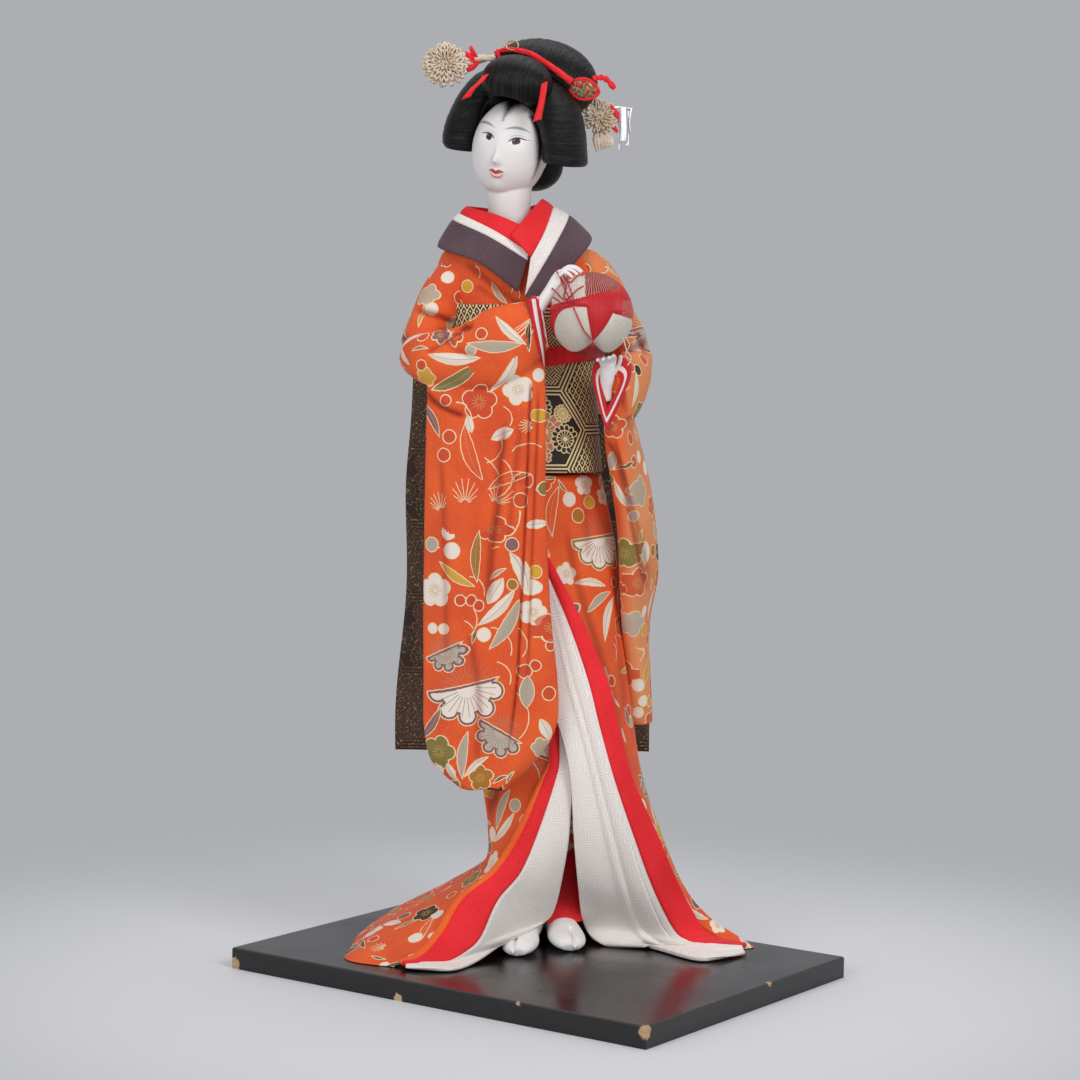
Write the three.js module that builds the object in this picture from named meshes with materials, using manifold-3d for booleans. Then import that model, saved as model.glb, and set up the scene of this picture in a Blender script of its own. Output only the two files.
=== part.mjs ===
// A costume doll on a lacquered board: a lady in a long-sleeved trailing kimono who holds a thread ball.
// Units are millimetres, +Z is up. The origin is the centre of the board's underside.
// The figure is modelled in a frame of its own: x to its left hand, -y to its front, z up from the board's top.
import * as THREE from "three";
import { mergeVertices } from "three/addons/utils/BufferGeometryUtils.js";
import Module from "manifold-3d";

const wasm = await Module();
wasm.setup();

// Driving dimensions
const BOARD = { width: 280, depth: 200, thickness: 12, bevel: 0.8 };
const FIGURE_TURN = THREE.MathUtils.degToRad(36);
const GAP = 0.35; // clearance that neighbouring pieces keep
const CLOTH = 2.4; // thickness of a lined and padded cloth panel
const HEAD = { at: [-21.5, 18, 449], yaw: -22, roll: -10, nod: 7, width: 42, depth: 44, height: 54 };
const BALL = { at: [24, -37, 357], radius: 22.5 };
const OBI = { bottom: 270, top: 362, wall: 3.2 };
const TAIL = { width: 92, thickness: 3, top: 344, bottom: 104 };

// Small vector helpers on plain [x, y, z] arrays
const add = (a, b) => a.map((v, i) => v + b[i]);
const sub = (a, b) => a.map((v, i) => v - b[i]);
const mul = (a, k) => a.map((v) => v * k);
const mix = (a, b, t) => a.map((v, i) => v + (b[i] - v) * t);
const cross = (a, b) => [a[1] * b[2] - a[2] * b[1], a[2] * b[0] - a[0] * b[2], a[0] * b[1] - a[1] * b[0]];
const dot = (a, b) => a[0] * b[0] + a[1] * b[1] + a[2] * b[2];
const unit = (a) => mul(a, 1 / (Math.hypot(...a) || 1));
const steps = (n) => Array.from({ length: n + 1 }, (_, i) => i / n);
const rad = THREE.MathUtils.degToRad;

// A smooth curve through points, read at t from 0 to 1
function along(points, t) {
  const n = points.length - 1;
  const s = Math.min(Math.max(t, 0), 1) * n;
  const i = Math.min(Math.floor(s), n - 1);
  const f = s - i;
  const p = [Math.max(i - 1, 0), i, i + 1, Math.min(i + 2, n)].map((k) => points[k]);
  return p[1].map((_, k) => {
    const [a, b, c, d] = p.map((q) => q[k]);
    const bend = 2 * a - 5 * b + 4 * c - d;
    const twist = 3 * b - a - 3 * c + d;
    return 0.5 * (2 * b + (c - a) * f + bend * f * f + twist * f * f * f);
  });
}

// A closed surface from vertices and triangles, which may face either way
function surface(vertices, triangles) {
  const geometry = new THREE.BufferGeometry();
  geometry.setAttribute("position", new THREE.Float32BufferAttribute(vertices.flat(), 3));
  geometry.setIndex(triangles.flat());
  return geometry;
}

// A solid from a closed geometry, turned to face outwards
function solid(geometry) {
  const bare = geometry.clone().deleteAttribute("normal").deleteAttribute("uv");
  const merged = mergeVertices(bare, 1e-3);
  const faces = [];
  for (let i = 0; i < merged.index.count; i += 3) {
    const [a, b, c] = [0, 1, 2].map((k) => merged.index.getX(i + k));
    if (a !== b && b !== c && c !== a) faces.push([a, b, c]);
  }
  const build = (list) =>
    new wasm.Manifold(
      new wasm.Mesh({
        numProp: 3,
        vertProperties: merged.attributes.position.array,
        triVerts: new Uint32Array(list.flat()),
      }),
    );
  const made = build(faces);
  return made.volume() < 0 ? build(faces.map(([a, b, c]) => [a, c, b])) : made;
}

// A surface skinned over rings of points, closed at both ends
function skin(rings) {
  const n = rings[0].length;
  const vertices = rings.flat();
  const triangles = [];
  for (let j = 0; j < rings.length - 1; j++)
    for (let i = 0; i < n; i++) {
      const [a, b] = [j * n + i, j * n + ((i + 1) % n)];
      triangles.push([a, b, b + n], [a, b + n, a + n]);
    }
  for (const [ring, turned] of [[0, false], [rings.length - 1, true]]) {
    const centre = mul(rings[ring].reduce(add), 1 / n);
    const hub = vertices.push(centre) - 1;
    for (let i = 0; i < n; i++) {
      const [a, b] = [ring * n + i, ring * n + ((i + 1) % n)];
      triangles.push(turned ? [a, b, hub] : [b, a, hub]);
    }
  }
  return surface(vertices, triangles);
}
const loft = (rings) => solid(skin(rings));

// A panel of cloth: the surface at(u, v) with a thickness, thinned to a rounded rim at its edges
function panel(at, countU, countV, thickness) {
  const e = 1e-3;
  const front = [];
  const back = [];
  for (const v of steps(countV))
    for (const u of steps(countU)) {
      const du = sub(at(Math.min(u + e, 1), v), at(Math.max(u - e, 0), v));
      const dv = sub(at(u, Math.min(v + e, 1)), at(u, Math.max(v - e, 0)));
      const normal = unit(cross(du, dv));
      const rim = u === 0 || u === 1 || v === 0 || v === 1 ? 0.55 : 1;
      front.push(add(at(u, v), mul(normal, (thickness * rim) / 2)));
      back.push(sub(at(u, v), mul(normal, (thickness * rim) / 2)));
    }
  const w = countU + 1;
  const offset = front.length;
  const triangles = [];
  for (let j = 0; j < countV; j++)
    for (let i = 0; i < countU; i++) {
      const [a, b, c, d] = [j * w + i, j * w + i + 1, (j + 1) * w + i + 1, (j + 1) * w + i];
      triangles.push([a, b, c], [a, c, d]);
      triangles.push([offset + c, offset + b, offset + a], [offset + d, offset + c, offset + a]);
    }
  const wall = (a, b) => triangles.push([b, a, offset + a], [b, offset + a, offset + b]);
  for (let i = 0; i < countU; i++) {
    wall(i, i + 1);
    wall(countV * w + i + 1, countV * w + i);
  }
  for (let j = 0; j < countV; j++) {
    wall((j + 1) * w, j * w);
    wall(j * w + countU, (j + 1) * w + countU);
  }
  return solid(surface([...front, ...back], triangles));
}

// The surface between two guide curves, with a bulge outwards and soft folds that run along them
function between(left, right, { bulge = 0, folds = 0, depth = 0, out = [0, -1, 0] } = {}) {
  return (u, v) => {
    const swell = bulge * 4 * u * (1 - u) + depth * Math.sin(u * Math.PI * folds) * Math.min(1, v * 2);
    return add(mix(along(left, v), along(right, v), u), mul(out, swell));
  };
}

// An ellipse ring in the horizontal plane; power above 1 squares it, turn rotates it
function oval([x, y, z], halfX, halfY, sides = 20, { power = 1, turn = 0 } = {}) {
  return steps(sides).slice(0, sides).map((t) => {
    const a = t * 2 * Math.PI;
    const c = Math.sign(Math.cos(a)) * Math.abs(Math.cos(a)) ** (1 / power) * halfX;
    const s = Math.sign(Math.sin(a)) * Math.abs(Math.sin(a)) ** (1 / power) * halfY;
    return [x + c * Math.cos(turn) - s * Math.sin(turn), y + c * Math.sin(turn) + s * Math.cos(turn), z];
  });
}

// A limb: round or flat sections along a smooth path; each station is [x, y, z, half across, half upright]
function limb(stations, { sides = 10, count = 6, up = [0, 0, 1] } = {}) {
  const e = 1e-3;
  const rings = steps(count).map((t) => {
    const [x, y, z, across, upright] = along(stations, t);
    const step = sub(along(stations, Math.min(t + e, 1)), along(stations, Math.max(t - e, 0)));
    const dir = unit(step.slice(0, 3));
    const side = unit(cross(dir, up));
    const lift = cross(side, dir);
    return steps(sides).slice(0, sides).map((s) => {
      const a = s * 2 * Math.PI;
      const offset = add(mul(side, Math.cos(a) * across), mul(lift, Math.sin(a) * upright));
      return add([x, y, z], offset);
    });
  });
  return loft(rings);
}

// A ball with three radii, with an optional push on each point of the unit sphere
function ball(at, radii, { sides = 14, rows = 8, push = (d) => d } = {}) {
  const geometry = new THREE.SphereGeometry(1, sides, rows).rotateX(Math.PI / 2);
  const place = geometry.attributes.position;
  for (let i = 0; i < place.count; i++) {
    const d = push([place.getX(i), place.getY(i), place.getZ(i)]);
    place.setXYZ(i, ...d.map((v, k) => at[k] + v * radii[k]));
  }
  return geometry;
}

const join = (...solids) => wasm.Manifold.union(solids);
const cut = (whole, ...tools) => tools.reduce((left, tool) => left.subtract(tool), whole);

// The largest body of a solid, so that no crumb is left behind by a cut
function main(shape) {
  return shape.decompose().sort((a, b) => b.volume() - a.volume())[0];
}

// Nested guide curves of the front edges, from the waist down to the hem; y is the front
const EDGE = {
  whiteLeftInner: [[16, -8, 150], [16, -9, 114], [18, -10, 99], [16.4, -8, 67], [12.9, 0, 42], [9.8, 8, 26],
    [6, 13, 16.5], [-1.5, 2, 13.4], [-20, -13, 6.5], [-35, -36, 1.6], [-48, -53, 1.6], [-72, -50, 1.6]],
  redLeftInner: [[8, -8, 150], [10, -9, 113], [8, -10, 99], [-2, -12, 68], [-10.6, -16, 48], [-23, -21, 33],
    [-32, -28, 14], [-40, -35, 7.5], [-49, -41, 4], [-57, -44, 3.2], [-64, -46, 3.2], [-72, -46, 3]],
  orangeLeft: [[4, -8, 150], [5, -9, 113], [1.5, -9, 99], [-10, -11, 70], [-23.5, -15, 49], [-42, -18, 33.5],
    [-52, -24, 17.6], [-60, -32, 8], [-66, -38, 4], [-70, -42, 3.2], [-73, -44, 3.2], [-75, -44.5, 3]],
  whiteRightInner: [[-6, -12, 222], [-1, -14.5, 186], [3.5, -15.5, 150], [12.8, -15.5, 121], [17, -14.5, 99],
    [19, -10, 69], [22, 2, 39], [26, 28, 11], [35, 17, 1.8], [62, 9, 1.8], [90, -21, 1.8], [116, -3, 1.8]],
  redRightInner: [[0, -12.5, 222], [14, -15, 189], [25.5, -16.5, 157], [32.6, -16.5, 130], [41.4, -14.5, 100],
    [53.7, -10, 65], [64, -4, 38], [76, 2, 14], [84, 1, 7.6], [94, 0, 5.8], [104, 0, 4.8], [115, 2, 3.8]],
  orangeRight: [[2, -12.5, 224], [21, -14.5, 190], [36, -14, 157], [43.5, -12, 128], [52, -9, 99],
    [66, -3, 68], [77.5, 5, 41], [91, 13, 15], [98, 14, 7.5], [105, 13, 5], [112, 12, 4], [118, 10, 3.2]],
};

// The skirt of the outer kimono: its outline at eleven heights, from the waist to the hem
const SKIRT_ROWS = [
  { z: 268, right: [31, 18], backRight: [24, 40], back: [-4, 47], backLeft: [-32, 40], left: [-38, 18] },
  { z: 222, right: [40, 15], backRight: [31, 45], back: [-1, 54], backLeft: [-33, 45], left: [-42, 15] },
  { z: 180, right: [45, 16], backRight: [37, 50], back: [0, 60], backLeft: [-35, 50], left: [-42, 15] },
  { z: 127, right: [53, 18], backRight: [42, 54], back: [3, 65], backLeft: [-32, 54], left: [-38, 15] },
  { z: 99, right: [58, 19], backRight: [46, 56], back: [5, 67], backLeft: [-27, 53], left: [-34, 16] },
  { z: 68, right: [68, 21], backRight: [53, 58], back: [6, 71], backLeft: [-22, 54], left: [-30, 18] },
  { z: 45, right: [77, 23], backRight: [59, 60], back: [6, 78], backLeft: [-24, 62], left: [-33, 21] },
  { z: 27, right: [87, 25], backRight: [64, 61], back: [5, 88], backLeft: [-46, 74], left: [-58, 22] },
  { z: 14, right: [100, 26], backRight: [69, 61], back: [3, 98], backLeft: [-68, 76], left: [-86, 8] },
  { z: 5, right: [114, 24], backRight: [73, 62], back: [1, 103], backLeft: [-84, 68], left: [-101, -12] },
  { z: -2, right: [121, 22], backRight: [74, 62], back: [0, 105], backLeft: [-90, 62], left: [-109, -22] },
];
// Its front at the same heights: its two edges, and the bottom of the notch behind the panels between them
const SKIRT_FRONT = [
  { from: [0, -8], to: [-7, -8], notch: [-3.5, -8] },
  { from: [1, -11], to: [-5, -11], notch: [-2, -10.6] },
  { from: [27, -13], to: [-4, -11], notch: [13, -9.5] },
  { from: [44, -10.5], to: [4, -8], notch: [26, -8] },
  { from: [52, -7.5], to: [1.5, -7.5], notch: [27, -5] },
  { from: [65, -1.5], to: [-10, -9.5], notch: [27, 4] },
  { from: [75, 4], to: [-25, -12.5], notch: [18, 36] },
  { from: [84, 10], to: [-45, -18], notch: [13, 60] },
  { from: [93, 15], to: [-57, -27], notch: [12, 66] },
  { from: [107, 14], to: [-70, -39], notch: [11, 68] },
  { from: [117, 12], to: [-80, -44], notch: [10, 69] },
];
const SKIRT_AXIS = [3, 30];
const BACK_FOLDS = { count: 7, depth: 2.6 };

function skirt() {
  const outerSteps = 18;
  const column = (pick) => SKIRT_ROWS.map((row, i) => [...pick(row, SKIRT_FRONT[i]), row.z]);
  const columns = [
    column((_, front) => front.from), column((row) => row.right), column((row) => row.backRight),
    column((row) => row.back), column((row) => row.backLeft), column((row) => row.left),
    column((_, front) => front.to),
  ];
  const notch = column((_, front) => front.notch);
  return loft(
    steps(SKIRT_ROWS.length - 1).map((t) => {
      const guides = columns.map((c) => along(c, t));
      const middle = along(notch, t);
      const outer = steps(outerSteps).map((s) => {
        const p = along(guides, s);
        const depth = BACK_FOLDS.depth * t;
        const wave = Math.sin(Math.PI * s) ** 2 * Math.cos(s * 2 * Math.PI * BACK_FOLDS.count);
        const away = unit([p[0] - SKIRT_AXIS[0], p[1] - SKIRT_AXIS[1], 0]);
        return add(p, mul(away, depth * (wave - 0.5)));
      });
      const first = outer[0];
      const last = outer[outerSteps];
      const inset = [mix(last, middle, 0.5), middle, mix(middle, first, 0.5)];
      return [...outer, ...inset];
    }),
  );
}

// The front panels: white under-robe and red lining, left and right of the opening
const PANEL_ROWS = 16;
const frontPanel = (left, right, columns, thickness, shape = {}) =>
  panel(between(EDGE[left], EDGE[right], shape), columns, PANEL_ROWS, thickness);
const whiteRight = () => frontPanel("whiteRightInner", "redRightInner", 5, CLOTH, { folds: 3, depth: 0.9 });
const whiteLeft = () => frontPanel("whiteLeftInner", "redLeftInner", 3, CLOTH - 0.4);
const redRight = () => frontPanel("redRightInner", "orangeRight", 2, CLOTH + 0.6, { bulge: 1 });
const redLeft = () => frontPanel("redLeftInner", "orangeLeft", 2, CLOTH + 0.4, { bulge: 1 });

// The red underskirt, a narrow tube round the legs: centre, height and half widths
const UNDERSKIRT = [
  [6, 14, 150, 15, 12], [7, 22, 100, 16, 15], [8, 32, 55, 17, 17], [9, 37, 28, 18, 19],
  [10, 39, 12.6, 20, 21],
];
const ovals = (stations, count, sides, power = 1) => loft(
  steps(count).map((t) => {
    const [x, y, z, halfX, halfY] = along(stations, t);
    return oval([x, y, z], halfX, halfY, sides, { power });
  }),
);
const underskirt = () => ovals(UNDERSKIRT, 4, 14, 1.1);

// A foot in a split-toed sock, drawn from the heel forwards
// Each station is the share of its length from the heel, half its width and its height.
const FOOT = {
  length: 52,
  split: { half: 0.5, side: 1.8, from: [0.78, 8], to: [1.1, 6] },
  stations: [[0, 5, 12], [0.12, 8.5, 24], [0.45, 8, 19], [0.72, 10.6, 12], [0.92, 9, 8.6], [1, 5.4, 5]],
};
function foot([x, y], heading) {
  const ahead = [Math.sin(heading), -Math.cos(heading)];
  const point = (share, side = 0) => {
    const reach = share * FOOT.length;
    return [x + ahead[0] * reach - ahead[1] * side, y + ahead[1] * reach + ahead[0] * side];
  };
  const stations = FOOT.stations.map(([share, half, height]) =>
    [...point(share), height / 2 + GAP, half, height / 2]);
  const { half, side, from, to } = FOOT.split;
  const toeSide = side * Math.sign(heading);
  const blade = [from, to].map(([share, z]) => [...point(share, toeSide), z, half, from[1]]);
  return cut(limb(stations, { sides: 10, count: 8 }), limb(blade, { sides: 6, count: 1 }));
}
const RIGHT_FOOT = { heel: [-4, 36], heading: rad(-9) };
const LEFT_FOOT = { heel: [8, 50], heading: rad(12) };

// The bodice, from the hips up over the shoulders to the neck: centre, height and half widths
const BODICE = [
  [-4, 20, 270, 33, 26], [-7, 20, 300, 33.5, 26], [-11, 20, 335, 36, 26], [-14, 20, 362, 41, 26],
  [-16, 20, 378, 45, 25], [-18, 21, 390, 41, 24], [-19, 22, 398, 31, 21], [-20, 23, 404, 22, 17],
];
const bodice = () => ovals(BODICE, 7, 14, 1.15);

// The obi: a wide stiff sash wound flat round the waist
function obiBand(from, to, wall, sides = 18) {
  return loft([from, (from + to) / 2, to].map((z) => {
    const t = (z - OBI.bottom) / (OBI.top - OBI.bottom);
    const [x, y, , halfX, halfY] = along(BODICE.slice(0, 4), t);
    return oval([x, y, z], halfX + wall, halfY + wall, sides, { power: 1.15 });
  }));
}

// The soft red sash tied round the middle of the obi
const CORD = { middle: 334, rise: 4.5, half: 4.2, edge: 0.8, stand: 2.4 };
function redSash(sides = 18) {
  const t = (CORD.middle - OBI.bottom) / (OBI.top - OBI.bottom);
  const [x, y, , halfX, halfY] = along(BODICE.slice(0, 4), t);
  const ring = (z, wall) => {
    const out = OBI.wall + wall;
    return oval([x, y, z], halfX + out, halfY + out, sides, { power: 1.15 })
      .map(([px, py, pz]) => [px, py, pz + CORD.rise * ((px - x) / halfX)]);
  };
  const profile = [[-1, CORD.edge], [-0.5, CORD.stand], [0.5, CORD.stand], [1, CORD.edge]];
  return loft(profile.map(([share, wall]) => ring(CORD.middle + share * CORD.half, wall)));
}

// The obi's knot: a folded pad at the back, and the two long tails that fan out below it
const KNOT = { x: -8, rear: 60, bottom: 300, width: 84, height: 68, thickness: 15, bow: 5, lean: 4 };
const knot = () =>
  panel((u, v) => {
    const y = KNOT.rear + KNOT.bow * Math.sin(Math.PI * u) - KNOT.lean * (1 - v);
    return [KNOT.x + (u - 0.5) * KNOT.width, y, KNOT.bottom + v * KNOT.height];
  }, 6, 4, KNOT.thickness);
const TAIL_RIGHT = { top: -34, bottom: -38, rear: 60, lean: 0.04 };
const TAIL_LEFT = { top: 4, bottom: 18, rear: 65, lean: -0.04 };
function tail({ top, bottom, rear, lean }) {
  return panel((u, v) => {
    const across = (u - 0.5) * TAIL.width * (0.9 + 0.1 * v);
    const ripple = 1.8 * Math.sin(u * Math.PI * 3 + lean * 20) * v;
    const y = rear + across * lean + ripple + 4 * v;
    return [top + (bottom - top) * v + across, y, TAIL.top + (TAIL.bottom - TAIL.top) * v];
  }, 6, 6, TAIL.thickness);
}

// The right sleeve: upper arm, bent forearm, and the long bag that hangs from it
const SLEEVE_RIGHT = {
  upper: [[-47, 18, 381, 12, 15], [-57, 12, 368, 12.5, 14], [-64, 4, 352, 12, 13], [-70, -4, 338, 11, 12]],
  fore: [
    [-72, -7, 335, 11, 11], [-62, -19, 332, 13, 15], [-42, -28, 333, 10, 18], [-22, -31, 342, 9, 20],
    [-5, -31, 352, 7.6, 14],
  ],
};
// The hanging bag: height, and its left and right edge
const BAG_RIGHT = [
  [350, -36, -6], [335, -58, -1], [316, -64, 0], [290, -65, 0.5], [240, -65.5, 1.5], [190, -65.5, 5],
  [155, -65, 9], [130, -64.5, 8], [111, -60, -4], [96, -44, -20],
];
const BAG_FRONT = { y: -26.5, half: 4.6, taper: 1.4, fold: 2.2 };
function sleeveRight() {
  const sides = 8;
  const bag = loft(steps(11).map((t) => {
    const [z, left, right] = along(BAG_RIGHT, t);
    const half = BAG_FRONT.half - BAG_FRONT.taper * t;
    const edge = (s) => half * Math.min(1, 5 * Math.min(s, 1 - s) + 0.25);
    const fold = (s) => BAG_FRONT.fold * Math.cos(s * Math.PI * 3.2 + 0.4) * Math.min(1, t * 3);
    const point = (s, side) => [left + (right - left) * s, BAG_FRONT.y + fold(s) + side * edge(s), z];
    return [...steps(sides).map((s) => point(s, -1)), ...steps(sides).reverse().map((s) => point(s, 1))];
  }));
  return join(
    bag,
    limb(SLEEVE_RIGHT.upper, { sides: 10, count: 4, up: [0, 1, 0] }),
    limb(SLEEVE_RIGHT.fore, { sides: 10, count: 6 }),
  );
}

// The left sleeve, whose bag hangs at the side, seen nearly edge on
const SLEEVE_LEFT = {
  upper: [
    [21, 20, 384, 12, 14], [33, 19, 371, 12, 13], [41, 17, 357, 11.5, 12.5], [47, 14, 343, 10.5, 12],
    [51, 12, 327, 8, 10],
  ],
  fore: [
    [52, 18, 334, 8, 10], [50, 11, 330, 9, 13], [48, 4, 324, 10, 16], [43, -8, 316, 10, 18],
    [37.6, -18.6, 311, 9.3, 18.6],
  ],
};
// Sections of its bag: centre, half thickness, half breadth and turn in degrees
const BAG_LEFT = [
  [46, 2, 322, 7, 16, -14], [41, -2, 305, 6.5, 19, -14], [43, 1, 288, 8, 20, -16],
  [48, 7, 265, 8.5, 20, -20], [52, 13, 240, 8.5, 19, -22], [54, 18, 212, 8.5, 19, -22],
  [53, 26, 186, 7, 19, -14], [54, 34, 160, 7.5, 17, -8], [56, 37, 126, 8, 15, -4],
];
function sleeveLeft() {
  const bag = loft(steps(9).map((t) => {
    const [x, y, z, half, breadth, turn] = along(BAG_LEFT, t);
    return oval([x, y, z], half, breadth, 10, { power: 1.25, turn: rad(turn) });
  }));
  return join(
    bag,
    limb(SLEEVE_LEFT.upper, { sides: 10, count: 4, up: [0, 1, 0] }),
    limb(SLEEVE_LEFT.fore, { sides: 12, count: 4 }),
  );
}

// The collars: each is one band round the neck between two edge lines, from the lower end on the
// figure's right, round the nape, to the upper end on its left
const COLLAR = {
  neck: [
    [-9, -6, 403], [-27, -3, 411], [-44, 12, 416], [-39, 34, 417], [-22, 45, 416], [-7, 38, 419],
    [-4, 18, 421], [-12, -2, 411], [-20, -9.5, 400],
  ],
  red: [
    [-10, -9, 391], [-30, -5, 403], [-48, 12, 412], [-42, 37, 412], [-21, 50, 410], [0, 40, 414],
    [2.5, 15, 416], [-2, -3, 402], [-9, -11, 388],
  ],
  white: [
    [-11, -10, 386.5], [-32, -6, 399], [-52, 12, 408.5], [-45, 39, 409], [-21, 54, 406], [5, 42, 410],
    [11.5, 13, 411.5], [3, -6, 393], [-12, -14, 367],
  ],
  purple: [
    [-16, -12, 369], [-38, -9, 385], [-60.5, 12, 393.5], [-52, 42, 399], [-21, 59, 398], [14, 45, 402],
    [24.5, 14, 399.5], [14, -8, 384], [-6, -15.5, 364],
  ],
};

const COLLAR_CROSSING = 1.3; // how far the ends part where they cross
function collarBand(upper, lower, thickness) {
  return panel((u, v) => {
    const p = mix(along(upper, v), along(lower, v), u);
    const over = v > 0.5 ? 1 : -1; // the figure's left side lies over its right
    return add(p, [0, -over * COLLAR_CROSSING * Math.abs(2 * v - 1) ** 3, 0]);
  }, 2, 16, thickness);
}

// A hand: a palm and five fingers, each a bent limb; paths are in millimetres
function hand({ palm, fingers }) {
  return join(
    limb(palm, { sides: 8, count: 4, up: [0, 1, 0.2] }),
    ...fingers.map((path) => limb(path, { sides: 5, count: 3, up: [0.3, 1, 0.1] })),
  );
}
const RIGHT_HAND = {
  palm: [[-9, -31, 350, 4.6, 3.8], [-3, -32, 361, 4.2, 3.4], [2, -34, 369, 5, 3.2], [6, -36, 376, 4.6, 2.6]],
  fingers: [
    [
      [6, -33, 375, 1.8, 1.8], [8.5, -32, 381.5, 1.7, 1.7],
      [13, -31.5, 383, 1.5, 1.5], [17.5, -32, 380.8, 1.2, 1.2],
    ],
    [
      [5.5, -36, 375, 1.8, 1.8], [7.5, -37, 381, 1.7, 1.7],
      [11.5, -37.5, 382, 1.5, 1.5], [15.5, -38, 379.6, 1.2, 1.2],
    ],
    [
      [4.5, -39, 374, 1.8, 1.8], [6, -41, 379, 1.7, 1.7],
      [9.5, -43, 379, 1.5, 1.5], [12.5, -44, 376.5, 1.2, 1.2],
    ],
    [
      [3.5, -40, 371.5, 1.6, 1.6], [4.6, -43, 375, 1.5, 1.5],
      [7, -45.5, 375, 1.3, 1.3], [9, -47, 372.5, 1.1, 1.1],
    ],
    [
      [3, -31, 368, 1.9, 1.9], [6, -27.5, 372, 1.8, 1.8],
      [10, -25, 375, 1.6, 1.6], [13.5, -24, 376.5, 1.3, 1.3],
    ],
  ],
};
const LEFT_HAND = {
  palm: [[37, -20, 312, 4, 3.4], [35, -23, 319, 4.4, 3.4], [33, -26, 325, 5.4, 3], [32, -29, 330, 4.8, 2.4]],
  fingers: [
    [
      [29, -29, 329, 1.7, 1.7], [27.5, -32, 332, 1.6, 1.6],
      [26.5, -36, 332.2, 1.4, 1.4], [26, -40, 332, 1.1, 1.1],
    ],
    [
      [31, -30, 330, 1.7, 1.7], [30.5, -34, 332, 1.6, 1.6],
      [30, -38, 332, 1.4, 1.4], [29.5, -42, 332, 1.1, 1.1],
    ],
    [
      [33.5, -30, 330, 1.7, 1.7], [34, -34, 332.6, 1.6, 1.6],
      [34, -38, 333, 1.4, 1.4], [33.5, -42, 333.6, 1.1, 1.1],
    ],
    [
      [36, -29, 329, 1.6, 1.6], [37.4, -33, 333, 1.5, 1.5],
      [37.6, -37, 334.6, 1.3, 1.3], [37, -40, 335.6, 1.1, 1.1],
    ],
    [
      [37, -24, 324, 1.8, 1.8], [41, -25, 329, 1.7, 1.7],
      [43, -28, 333.5, 1.5, 1.5], [43, -31, 338, 1.2, 1.2],
    ],
  ],
};

// The lining round a sleeve's mouth: an open ring of cloth along an egg-shaped oval, narrower below
function cuff({ at, halfDeep, halfTall, lean, band, wall, point }) {
  const ring = (shift, scale) => steps(14).slice(0, 14).map((s) => {
    const a = s * 2 * Math.PI;
    const across = Math.cos(a) * halfDeep * scale * (1 + point * Math.sin(a));
    const tall = Math.sin(a) * halfTall * scale;
    const [c, q] = [Math.cos(lean), Math.sin(lean)];
    return [at[0] + shift * c - across * q, at[1] + shift * q + across * c, at[2] + tall];
  });
  const outside = loft([ring(0, 1), ring(band, 1.02)]);
  const inner = 1 - wall / Math.min(halfDeep, halfTall);
  return cut(outside, loft([ring(-1, inner), ring(band + 1, inner)]));
}
const CUFF_RIGHT = {
  at: [-5, -31, 352], halfDeep: 7.4, halfTall: 14.5, lean: 0.1, band: 4.5, wall: 2.6, point: 0,
};
const CUFF_LEFT = {
  at: [36.8, -20.4, 311], halfDeep: 9, halfTall: 19, lean: rad(-112), band: 4, wall: 3, point: 0.3,
};

// The head and neck: an egg with a nose, brow, lips and ears, on a slim neck
// The face's low mounds and hollows, in shares of the head's half sizes: x, z, half width, half height, lift
const FACE = [
  [0.1, -0.06, 0.1, 0.2, 0.06], [0.1, -0.17, 0.14, 0.11, 0.12], [-0.27, 0.25, 0.22, 0.12, -0.05],
  [0.47, 0.25, 0.22, 0.12, -0.05], [0.1, -0.44, 0.17, 0.08, 0.05], [0.08, -0.8, 0.3, 0.16, 0.07],
];
const JAW = { narrowing: 0.2, crown: 0.05, slope: 0.1 };
function faceShape([x, y, z]) {
  const side = 1 - (z < 0 ? JAW.narrowing : JAW.crown) * z * z;
  if (y > -1e-6) return [x * side, y, z];
  const mound = ([cx, cz, wide, high, lift]) => {
    const off = ((x - cx) / wide) ** 2 + ((z - cz) / high) ** 2;
    return lift * Math.exp(-off);
  };
  return [x * side, y * (1 - JAW.slope * z) - FACE.map(mound).reduce((a, b) => a + b), z];
}
const EAR = { out: 19.4, at: [3, -3], radii: [1.8, 4, 6] };
const HALF_HEAD = [HEAD.width / 2, HEAD.depth / 2, HEAD.height / 2];
const head = () => join(
  solid(onHead(ball([0, 0, 0], HALF_HEAD, { sides: 18, rows: 13, push: faceShape }))),
  ...[-1, 1].map((side) => solid(onHead(ball([side * EAR.out, ...EAR.at], EAR.radii, { sides: 6, rows: 4 })))),
  ovals(NECK, 5, 12),
);
const NECK = [
  [-20, 22, 398, 17, 12], [-21, 22, 405, 13.4, 11.6], [-21.5, 21, 414, 12, 11.6], [-21.5, 20, 424, 12, 12],
  [-20, 19, 436, 12, 12],
];

// The head's own frame: x to its left, -y ahead, z up, turned and tilted on the neck
const headFrame = new THREE.Matrix4()
  .makeTranslation(...HEAD.at)
  .multiply(new THREE.Matrix4().makeRotationZ(rad(HEAD.yaw)))
  .multiply(new THREE.Matrix4().makeRotationY(rad(-HEAD.roll)))
  .multiply(new THREE.Matrix4().makeRotationX(rad(HEAD.nod)));
const onHead = (geometry) => geometry.applyMatrix4(headFrame);

// The wig: a rolled front, two fanned side wings, a nape roll and a big topknot over a fitted cap
const WIG = {
  cap: { at: [0, 7, 14], radii: [22, 24, 28] },
  front: { at: [2.5, -8, 36], radii: [20.3, 17, 16] },
  nape: { at: [4, 24, -9], radii: [18.5, 13, 15.5] },
  topknot: { at: [3, 26, 38], radii: [32.5, 23, 22.6] },
};
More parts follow.
